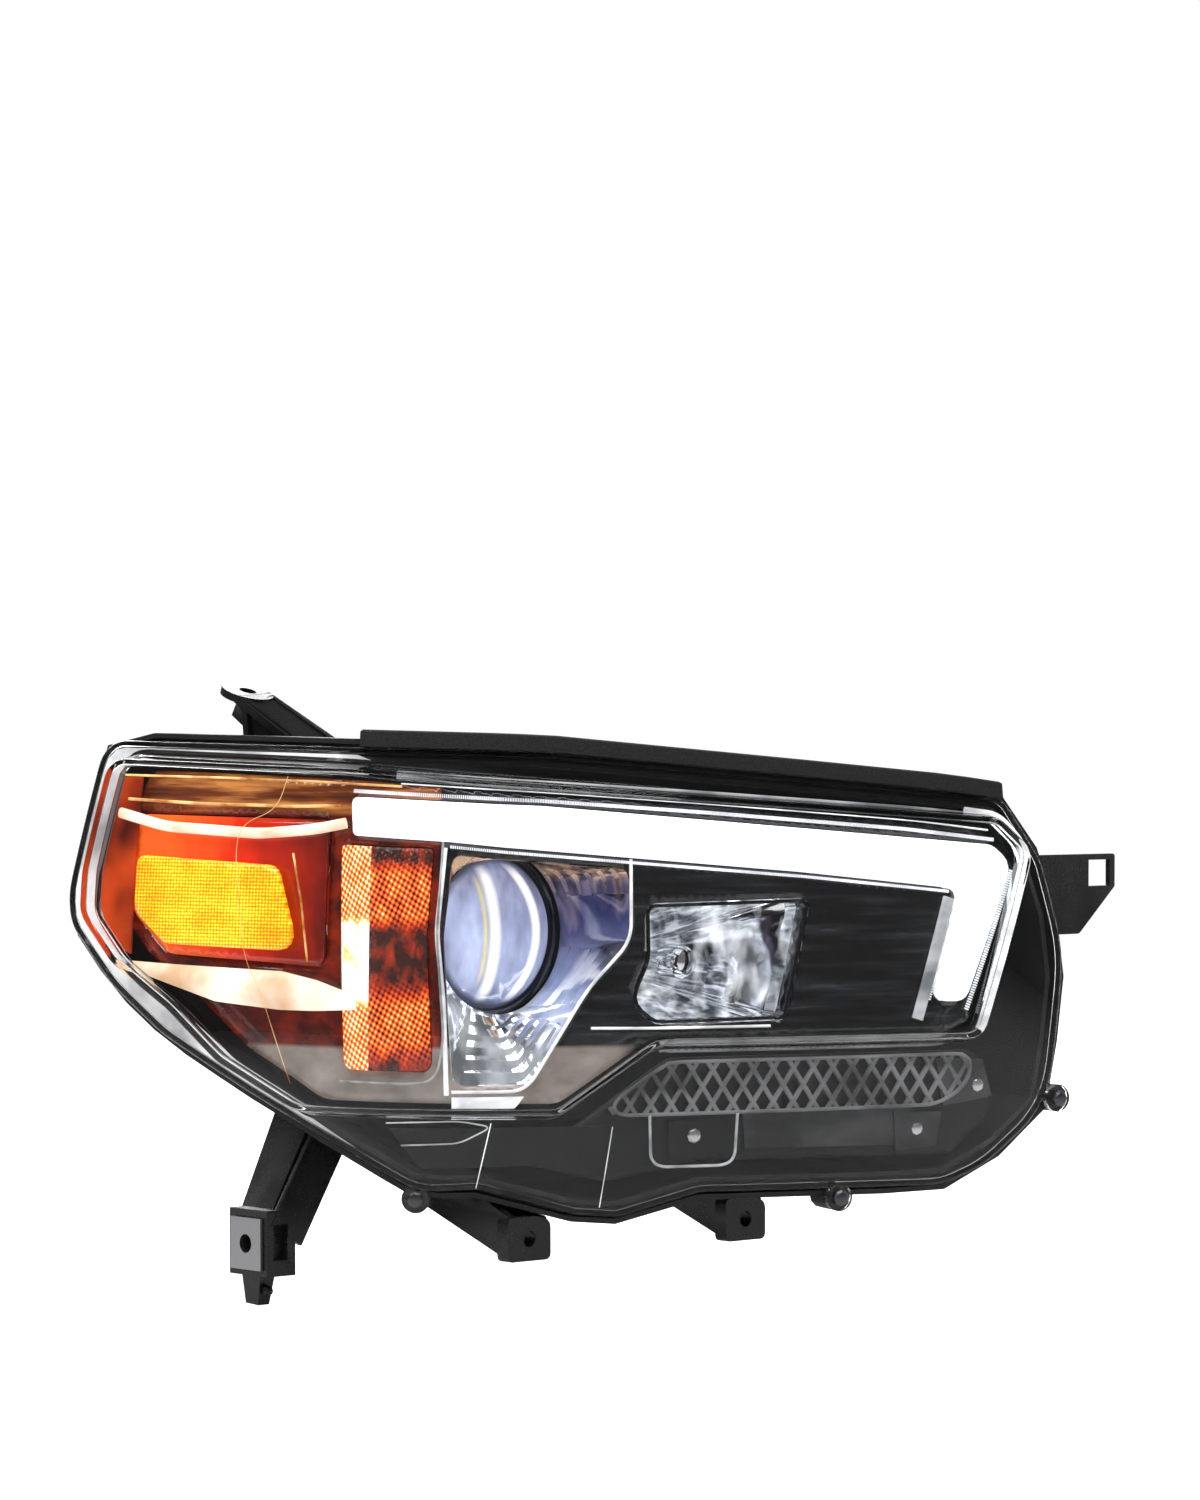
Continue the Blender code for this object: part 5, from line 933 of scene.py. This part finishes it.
def outer_lens():
    lens = grid_piece("clear_outer_lens", lens_rings(), smooth_deg=60)
    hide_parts("outer_lens")
    dress(lens, CLEAR)
    for label, (s, z) in zip(("outboard", "middle", "inboard"), LENS_SCREWS):
        angle = float(np.interp(s, PLAN_S, PLAN_ANGLE))
        top = surface(s, z, FLANGE_DEPTH - PAD_RISE) / MM + ORIGIN
        deep = LENS_WALL + 2 * PAD_RISE
        profile = ((SCREW_BORE, 0.4), (SCREW_BORE + 0.4, 0), (LUG_RADIUS - 0.6, 0), (LUG_RADIUS, 0.6),
                   (LUG_RADIUS, deep - 0.3), (LUG_RADIUS - 0.3, deep), (SCREW_BORE, deep), (SCREW_BORE, 0.4))
        pad = turned(f"lens_pad_{label}", profile, top, (math.sin(angle), math.cos(angle), 0), 48)
        dress(pad, CLEAR)


# ---------------------------------------------------------------- projector
def projector():
    """Glass, its ring, the lit chamber behind the glass and the lit reflector behind it."""
    y = (0.0, 1.0, 0.0)
    sweep = np.linspace(0.0, math.pi / 2, 28)
    dome = np.stack([GLASS_RADIUS * np.sin(sweep), -14.0 * np.cos(sweep)], -1)
    rim = [(GLASS_RADIUS, 0.5), (GLASS_RADIUS, 3.2), (GLASS_RADIUS - 0.4, 3.5), (0.0, 3.5)]
    glass = turned("projector_glass", np.concatenate([dome, rim]), PROJECTOR, y, 128, 40)
    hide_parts("projector_lens")
    dress(glass, lit_glass("lit_projector_glass"), "carrier")

    bore = GLASS_RADIUS + 0.3
    profile = [(bore, -2.6), (bore + 0.4, -3.6), (bore + 2.6, -4.0), (bore + 4.1, -3.6), (bore + 4.5, -2.8),
               (bore + 4.5, 15.7), (36.0, 15.7), (36.0, 3.8), (bore, 3.8), (bore, -2.6)]
    ring = turned("projector_lens_ring_look", profile, PROJECTOR, y, 128, 30)
    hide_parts("projector_lens_ring")
    dress(ring, DARK_CHROME, "carrier")

    chamber = [(35.8, 4.2), (35.4, 8.0), (34.0, 15.4), (35.0, 15.4), (35.9, 8.0), (35.9, 4.2), (35.8, 4.2)]
    lit = turned("projector_chamber", chamber, PROJECTOR, y, 96, 40)
    dress(lit, GLOW, "carrier")

    reflector = cad_copy("projector_reflector", bevel=0.0, smooth_deg=40)
    dress(reflector, GLOW, "carrier")


PROJECTOR_OPENING = (
    (321.0, 224.0, 6.0), (224.0, 216.5, 6.0), (223.0, 181.0, 10.0), (246.0, 158.0, 14.0),
    (277.0, 110.0, 8.0), (322.0, 110.0, 8.0), (327.0, 184.0, 30.0))
SHROUD_FOOT = 40.5
TERRACES = 6
SHROUD_FOOT_Y = PROJECTOR[1] - 8.5


def by_angle(loop, depth, centre, count):
    """Outline on the lamp's curve, sampled at equal angles about an axis along Y (mm)."""
    points = surface(loop[:, 0], loop[:, 1], depth) / MM + ORIGIN
    angle = np.arctan2(points[:, 2] - centre[1], points[:, 0] - centre[0])
    order = np.argsort(angle)
    wanted = np.linspace(-math.pi, math.pi, count, endpoint=False)
    return np.stack([np.interp(wanted, angle[order], points[order, i], period=2 * math.pi)
                     for i in range(3)], -1), wanted


def projector_shroud():
    """Bowl from the opening's outline to a circle: a smooth funnel cut into terraces.

    Ring k lies at share k / TERRACES between mouth and foot; each terrace first goes back along
    the lamp's axis, then in towards the circle.
    """
    loop = grow(even_loop(PROJECTOR_OPENING, 720), -0.6)
    mouth, angle = by_angle(loop, 27.0, (PROJECTOR[0], PROJECTOR[2]), 360)
    foot = np.stack([PROJECTOR[0] + SHROUD_FOOT * np.cos(angle), np.full_like(angle, SHROUD_FOOT_Y),
                     PROJECTOR[2] + SHROUD_FOOT * np.sin(angle)], -1)
    rings = [mouth]
    for k in range(1, TERRACES + 1):
        share, last = k / TERRACES, (k - 1) / TERRACES
        here = mouth + (foot - mouth) * share
        edge = mouth + (foot - mouth) * last
        edge[:, 1] = here[:, 1] * 0.8 + edge[:, 1] * 0.2
        rings += [edge, here]
    axis = np.array([PROJECTOR[0], 0, PROJECTOR[2]])
    back = [ring + (ring - axis) * np.array([0.03, 0, 0.03]) for ring in (foot, mouth)]
    back[1][:, 1] += 1.6
    grid = (np.array(rings + back) - ORIGIN) * MM
    made = grid_piece("projector_bowl", grid, close_rows=True, smooth_deg=20)
    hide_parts("projector_shroud")
    dress(made, BOWL)


HIGH_BEAM_OPENING = (
    (216.0, 199.0, 5.0), (125.0, 201.0, 5.0), (140.0, 140.0, 6.0), (212.0, 139.0, 10.0),
    (226.0, 150.0, 10.0), (216.0, 172.0, 20.0))
HIGH_BEAM_RIM_DEPTH = 42.0
HIGH_BEAM_HOLE = 13.0
FACET_WIDTH = 11.0
FACET_HEIGHT = 15.0
FACET_DEPTH = 1.3


def high_beam():
    """Bowl from the opening back to the bulb's hole, with upright facets pressed into it."""
    loop = grow(even_loop(HIGH_BEAM_OPENING, 900), 2.0)
    mouth, angle = by_angle(loop, HIGH_BEAM_RIM_DEPTH, HIGH_BEAM, 420)
    hole_y = PROJECTOR[1] + 2.0
    hole = np.stack([HIGH_BEAM[0] + HIGH_BEAM_HOLE * np.cos(angle), np.full_like(angle, hole_y),
                     HIGH_BEAM[1] + HIGH_BEAM_HOLE * np.sin(angle)], -1)
    t = np.linspace(0.0, 1.0, 60)[:, None, None]
    grid = mouth + (hole - mouth) * np.concatenate([t, 1 - (1 - t) ** 1.9, t], -1)
    column = (grid[..., 0] - HIGH_BEAM[0]) / FACET_WIDTH
    row = (grid[..., 2] - HIGH_BEAM[1]) / FACET_HEIGHT
    fade = np.clip(np.minimum(t[..., 0] * 8, (1 - t[..., 0]) * 8), 0, 1)
    staggered = row + 0.5 * np.floor(column)
    pillow = (abs(column % 1.0 - 0.5) * 2) ** 2 + (abs(staggered % 1.0 - 0.5) * 2) ** 2
    grid[..., 1] += fade * pillow * FACET_DEPTH
    outward = mouth - np.array([HIGH_BEAM[0], 0, HIGH_BEAM[1]])
    back = [grid[-1] + np.array([0.0, 1.6, 0.0]), mouth + outward * np.array([0.04, 0, 0.04])]
    made = grid_piece("high_beam_bowl", (np.concatenate([grid, np.array(back)]) - ORIGIN) * MM,
                      close_rows=True, smooth_deg=28)
    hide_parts("high_beam_reflector")
    dress(made, BRIGHT, "carrier")
    shield = cad_copy("high_beam_bulb_shield", bevel=0.25)
    dress(shield, CHROME, "carrier")
    surround = on_lamp_curve("high_beam_surround")
    dress(surround, GLOSS)


# ---------------------------------------------------------------- inner trim
GRILLE_CORNERS = ((207.0, 121.0, 4.0), (34.0, 121.5, 6.0), (42.0, 104.0, 8.0),
                  (58.0, 96.0, 6.0), (247.0, 95.0, 4.0))
GRILLE_EAVES = ((206.0, 129.6), (212.0, 126.6), (58.0, 126.6), (52.0, 129.6))
GRILLE_PITCH = 11.0
GRILLE_BAR = 0.95
GRILLE_SLOPE = 1.5


def inner_trim():
    dress(on_lamp_curve("bezel"), COVER)
    dress(on_lamp_curve("drl_light_guide", 4.0), LIGHT)
    dress(on_lamp_curve("drl_channel"), GLOSS)
    dress(on_lamp_curve("drl_board"), NYLON)
    dress(on_lamp_curve("lower_trim"), DEEP_BLACK)
    # the lattice's grey finish glows: painted light
    lattice = bars("grille_lattice", even_loop(GRILLE_CORNERS, 160), 19.5, GRILLE_PITCH, GRILLE_BAR)
    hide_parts("grille_mesh")
    bars("grille_lattice_upper", np.array(GRILLE_EAVES), 19.0, 4.0, 0.5)
    dress(on_lamp_curve("turn_signal_lens", 4.0), TURN)
    dress(on_lamp_curve("side_marker_lens"), SIDE)
    dress(on_lamp_curve("side_reflex_reflector", 4.0), REFLEX)
    dress(on_lamp_curve("side_marker_reflector"), CHROME)


def inside(points, outline):
    """Which points lie inside the closed outline, by counting the edges each one's ray crosses."""
    a, b = outline, np.roll(outline, -1, 0)
    x, y = points[:, 0][:, None], points[:, 1][:, None]
    spans = (a[:, 1] > y) != (b[:, 1] > y)
    rise = np.where(b[:, 1] == a[:, 1], 1.0, b[:, 1] - a[:, 1])
    cross = a[:, 0] + (y - a[:, 1]) * (b[:, 0] - a[:, 0]) / rise
    return np.sum(spans & (x < cross), axis=1) % 2 == 1


def bars(name, outline, depth, pitch, half):
    """Two families of crossing bars z = c +- slope * s, cut to the outline, with a rim round it."""
    points, faces = [], []
    s_low, z_low = outline.min(0)
    s_high, z_high = outline.max(0)
    for family, slope in enumerate((GRILLE_SLOPE, -GRILLE_SLOPE)):
        for start in np.arange(s_low - z_high, s_high + z_high, pitch):
            z = np.linspace(z_low, z_high, 240)
            s = start + (z - z_low) / slope + (0.0 if slope > 0 else (z_high - z_low) / GRILLE_SLOPE)
            held = np.flatnonzero(inside(np.stack([s, z], -1), outline))
            if len(held) < 8:
                continue
            ends = np.array([[s[held[0]], z[held[0]]], [s[held[-1]], z[held[-1]]]])
            along = (ends[1] - ends[0]) / np.linalg.norm(ends[1] - ends[0])
            side = np.array([-along[1], along[0]]) * half
            flat = np.array([ends[0] - side, ends[1] - side, ends[1] + side, ends[0] + side])
            near = surface(flat[:, 0], flat[:, 1], depth + 0.3 * family)
            far = surface(flat[:, 0], flat[:, 1], depth + 2.4)
            faces += (BOX_FACES + len(points)).tolist()
            points += list(np.concatenate([near, far]))
    lattice = dress(mesh_piece(name, points, faces, smooth_deg=20), GRILLE_GREY)
    rim_loop = np.concatenate([outline, outline[:2]])
    run = np.concatenate([rim_loop, np.full((len(rim_loop), 1), depth)], axis=1)
    strip(name + "_rim", run, 1.2, 0.9, GRILLE_GREY, "black_plastic", count=260)
    return lattice


def strip(name, places, half_width, half_height, material, slot, count=90):
    """Moulded strip on the lamp curve through (s, z, d) places, its height across the surface."""
    places = np.asarray(places, float)
    walked = distances(places[:, :2])
    smooth = read_at(np.linspace(0.0, walked[-1], count), walked, places)
    kernel = np.ones(9) / 9
    padded = np.pad(smooth, ((4, 4), (0, 0)), mode="reflect", reflect_type="odd")
    smooth = np.stack([np.convolve(padded[:, i], kernel, "valid") for i in range(3)], -1)
    path = surface(smooth[:, 0], smooth[:, 1], smooth[:, 2])
    angle = np.interp(smooth[:, 0], PLAN_S, PLAN_ANGLE)
    inward = np.stack([np.sin(angle), np.cos(angle), np.zeros_like(angle)], -1)
    made = swept(name, path, half_width * MM, half_height * MM, inward)
    return dress(made, material)


def patch(name, top, bottom, depth, wall, material, bulge=0.0):
    """Curved panel between two edges given as (s, z) places; bulge lifts its middle."""
    t = np.linspace(0.0, 1.0, 70)
    across = 18
    edges = []
    for edge in (top, bottom):
        edge = np.asarray(edge, float)
        walked = distances(edge)
        edges.append(read_at(t * walked[-1], walked, edge))
    u = np.linspace(0.0, 1.0, across)[:, None, None]
    flat = edges[0] + (edges[1] - edges[0]) * u
    lift = bulge * np.sin(np.pi * u[..., 0]) * np.sin(np.pi * t)
    front = surface(flat[..., 0], flat[..., 1], depth - lift)
    back = surface(flat[..., 0], flat[..., 1], depth + wall)
    grid = np.concatenate([front, back[::-1]])
    rows, columns = grid.shape[:2]
    faces = grid_faces(rows, columns, close_rows=True).tolist()
    for column, turn in ((0, 1), (columns - 1, -1)):
        faces += [[r * columns + column for r in (k, k + 1, rows - 2 - k, rows - 1 - k)][::turn]
                  for k in range(across - 1)]
    under = np.concatenate([flat, flat[::-1]]).reshape(-1, 2)
    return dress(mesh_piece(name, grid.reshape(-1, 3), faces, under), material)


def ledges():
    """Bright ledges and edges of the inner cover round the side lamps and the light bar; their glow is
    painted highlights and reflections.
    """
    strip("side_ledge_upper",
          ((532, 243, 16), (500, 236.5, 16), (440, 233.5, 18), (405, 236, 20), (386, 239, 21)),
          2.0, 2.7, CREAM, "amber_plastic")
    strip("side_ledge_edge",
          ((528, 250, 17), (480, 248, 18), (420, 247, 20), (390, 247.5, 22)),
          1.0, 0.8, GOLD, "amber_plastic")
    strip("side_ledge_top",
          ((532, 262, 17), (470, 261, 19), (400, 259, 21), (352, 257, 22)),
          0.8, 0.6, GOLD, "amber_plastic")
    # painted reflection: the shelf's creamy glow stands for the light it reflects
    patch("side_shelf",
          ((531, 169), (490, 167.6), (423, 166), (400, 162), (376, 155)),
          ((519, 164), (463.6, 150), (423, 147), (400, 147), (376, 148)),
          18.0, 1.5, CREAM, 3.0)
    strip("side_fold", ((419, 224, 19), (412, 200, 19.5), (407, 171, 20)), 0.5, 0.5, GOLD, "amber_plastic")
    strip("turn_edge",
          ((326.5, 232, 24), (330.5, 185, 24), (326.5, 133, 24), (331, 113, 24), (345, 111.5, 24),
           (388, 112.5, 24)),
          0.8, 0.6, GREY_EDGE, "gloss_black")
    strip("bowl_edge",
          ((223.5, 221, 25), (224.5, 181, 25), (248, 157, 25), (280, 107.5, 25), (322, 107.5, 25)),
          0.9, 0.8, WHITE_EDGE, "gloss_black")
    strip("divider",
          ((325.5, 227, 25), (330.5, 186, 25), (326.5, 150, 25), (325, 106, 25)),
          1.2, 1.2, WHITE_EDGE, "gloss_black")
    patch("bowl_shelf",
          ((322, 105), (281, 105)),
          ((322, 98.5), (286, 98.5)),
          24.5, 1.0, WHITE_EDGE, 0.5)
    strip("leg_reflector",
          ((47, 200, 24), (57, 170, 24), (67, 139, 24)),
          1.4, 3.2, GREY_EDGE, "gloss_black")
    strip("high_beam_foot",
          ((246, 138, 25), (215, 137.5, 25), (150, 137.5, 25)),
          0.8, 0.7, WHITE_EDGE, "gloss_black")
    # painted highlight: a glowing white strip inside the lens where its inboard step reflects light
    strip("inboard_step_painted_highlight",
          ((44, 244.5, 8), (24, 242, 8), (9, 226, 8), (17, 200, 8), (40, 134, 8)),
          0.8, 1.7, WHITE_EDGE, "clear_polycarbonate")


RIB_PITCH = 1.3
RIB_HALF = RIB_PITCH * 0.28
RIB_DEPTH = 1.5


def ribbed(name, places, half_height):
    """Row of fine upright ribs beside the light bar: one small block every RIB_PITCH."""
    places = np.asarray(places, float)
    walked = distances(places[:, :2])
    middle = read_at(np.arange(0.0, walked[-1], RIB_PITCH), walked, places)
    along = np.gradient(middle[:, :2], axis=0)
    along /= np.linalg.norm(along, axis=1)[:, None]
    across = np.stack([-along[:, 1], along[:, 0]], -1)
    flat = np.stack([middle[:, :2] + along * i * RIB_HALF + across * j * half_height
                     for i, j in ((-1, -1), (1, -1), (1, 1), (-1, 1))], 1)
    front = middle[:, 2][:, None]
    points = np.concatenate([surface(flat[..., 0], flat[..., 1], depth)
                             for depth in (front, front + RIB_DEPTH)], 1)
    faces = (BOX_FACES[None] + 8 * np.arange(len(middle))[:, None, None]).reshape(-1, 4)
    # the ribs' white finish glows: painted light
    return dress(mesh_piece(name, points.reshape(-1, 3), faces, smooth_deg=20), RIB_WHITE)


def light_ribs():
    ribbed("light_ribs_upper",
           ((383, 254.8, 23.5), (269, 249.8, 23.5), (183, 243.8, 23.5), (70, 234.8, 23.5),
            (18, 229.0, 23.5)),
           0.9)
    ribbed("light_ribs_lower",
           ((322, 227.5, 23.5), (238, 220.5, 23.5), (129, 211.5, 23.5), (47, 203.2, 23.5)),
           0.7)
    ribbed("light_ribs_leg", ((8.5, 213.0, 23.5), (24, 176.0, 23.5), (38, 143.0, 23.5)), 0.9)
    ribbed("light_ribs_leg_inner", ((41.5, 199.0, 23.5), (52, 171.0, 23.5), (60, 149.0, 23.5)), 0.7)


def lower_fittings():
    """Plates, frames and ribs under the flange, and the fine lines along the top of the cover; their grey,
    white and golden glow is painted light and highlights.
    """
    strip("clear_frame",
          ((217, 95, 19), (216, 72, 19), (211, 69, 19), (176, 69, 19), (171, 72, 19), (170, 95, 19)),
          0.8, 0.7, GREY_EDGE, "black_plastic")
    patch("screw_plate_middle",
          ((206, 92), (178, 92)),
          ((206, 73), (178, 73)),
          21.5, 1.0, DEEP_BLACK)
    patch("trim_plate",
          ((166, 94), (70, 95)),
          ((164, 77), (78, 76)),
          22.0, 1.0, PLATE_GREY, 1.0)
    patch("screw_plate_inboard",
          ((57, 119), (30, 118)),
          ((53, 95), (24, 99)),
          21.0, 1.0, PLATE_GREY)
    patch("screw_plate_lower",
          ((82, 93), (54, 92)),
          ((80, 73), (57, 75)),
          20.8, 1.0, PLATE_GREY)
    patch("dark_recess",
          ((358, 90), (240, 90)),
          ((340, 70), (240, 72)),
          22.0, 1.0, DEEP_BLACK)
    strip("flange_line_outboard",
          ((301, 93, 12.9), (309, 61, 12.9)),
          0.3, 0.25, WHITE_EDGE, "clear_polycarbonate")
    strip("flange_line_inboard",
          ((238, 90, 12.9), (244, 50, 12.9)),
          0.3, 0.25, WHITE_EDGE, "clear_polycarbonate")
    strip("clear_lug",
          ((358, 93, 15.6), (318, 94, 15.6), (300, 91, 15.6), (318, 83, 15.6), (350, 82, 15.6)),
          0.4, 0.4, GREY_EDGE, "clear_polycarbonate")
    strip("top_line_upper",
          ((352, 263.5, 9), (269, 259, 9), (183, 253.5, 9), (70, 245.5, 9), (34, 242, 9)),
          0.6, 0.9, GREY_EDGE, "gloss_black")
    strip("top_line_lower",
          ((352, 258.5, 20), (269, 254.5, 20), (183, 248.5, 20), (70, 239.5, 20), (24, 234, 20)),
          0.6, 0.45, WHITE_EDGE, "gloss_black")
    strip("mould_line",
          ((414, 262, 3.3), (419, 246, 3.3), (441, 238, 3.3), (443, 226, 3.3), (434, 172, 3.3),
           (424, 157, 3.3), (406, 112, 3.3)),
          0.12, 0.16, GOLD, "clear_polycarbonate")
    patch("side_end",
          ((546, 261), (549, 180)),
          ((524, 261), (524, 172)),
          21.0, 1.0, END_AMBER)


SKIRT_TURN = 104                         # steps from the last outline point to the skirt's inboard end
SKIRT_STEPS = 148


def skirt():
    """Pale skirt behind the lens's flange at its outboard foot; its glow is painted light."""
    top, foot = (np.roll(grow(matched(corners, anchors), distance), SKIRT_TURN, 0)[:SKIRT_STEPS]
                 for corners, anchors, distance in ((FACE_CORNERS, FACE_ANCHORS, 4.4),
                                                    (FLANGE_CORNERS, FLANGE_ANCHORS, -4.0)))
    patch("lens_skirt", top, foot, FLANGE_DEPTH + LENS_WALL + 0.15, 0.3, SKIRT)


# ---------------------------------------------------------------- everything from the CAD
# node: its finish and the radius of its rounded edges in millimetres
PLAIN = {
    "housing": (HOUSING_BLACK, 0.6), "hood_seal": (FOAM, 0.5), "lens_sealant": (RUBBER, 0.0),
    "lens_screw_outboard": (DARK_STEEL, 0.15), "lens_screw_middle": (DARK_STEEL, 0.15),
    "lens_screw_inboard": (DARK_STEEL, 0.15), "trim_screw_outboard": (ZINC, 0.15),
    "trim_screw_middle": (ZINC, 0.15), "trim_screw_inboard": (ZINC, 0.15),
    "turn_signal_reflector": (CHROME, 0.0), "pivot_stud_outboard": (ZINC, 0.2),
    "pivot_stud_inboard": (ZINC, 0.2), "main_connector": (BLACK, 0.5), "vent_cap_upper": (RUBBER, 0.4),
    "vent_cap_lower": (RUBBER, 0.4), "upper_bracket": (SMOOTH_BLACK, 0.7),
    "inboard_bracket": (SMOOTH_BLACK, 0.5), "lower_tab_inner": (SMOOTH_BLACK, 0.7),
    "lower_tab_outer": (SMOOTH_BLACK, 0.7), "fender_bracket": (SMOOTH_BLACK, 0.7),
    "fender_clip_nut": (STEEL, 0.2), "carrier_frame": (BLACK, 0.4), "cutoff_shield": (STEEL, 0.15),
    "low_beam_bulb": (ZINC, 0.2), "high_beam_bulb": (ZINC, 0.2), "aim_ball_nut": (NYLON, 0.3),
    "aim_screw": (NYLON, 0.3), "low_beam_cap": (RUBBER, 0.6), "high_beam_cap": (RUBBER, 0.6),
    "turn_signal_socket": (BLACK, 0.4), "turn_signal_bulb": (SIDE, 0.2),
    "side_marker_socket": (BLACK, 0.4), "side_marker_bulb": (SIDE, 0.2),
}


def carried_over():
    """CAD pieces whose shape is right: rounded edges and their own finish."""
    body_of = {node: body for body, nodes in frame["record"]["behaviour"]["bodies"].items() for node in nodes}
    for node, (material, bevel) in PLAIN.items():
        dress(cad_copy(node, bevel=bevel), material, body_of[node])


studio()
outer_lens()
projector()
projector_shroud()
high_beam()
inner_trim()
ledges()
light_ribs()
lower_fittings()
skirt()
carried_over()
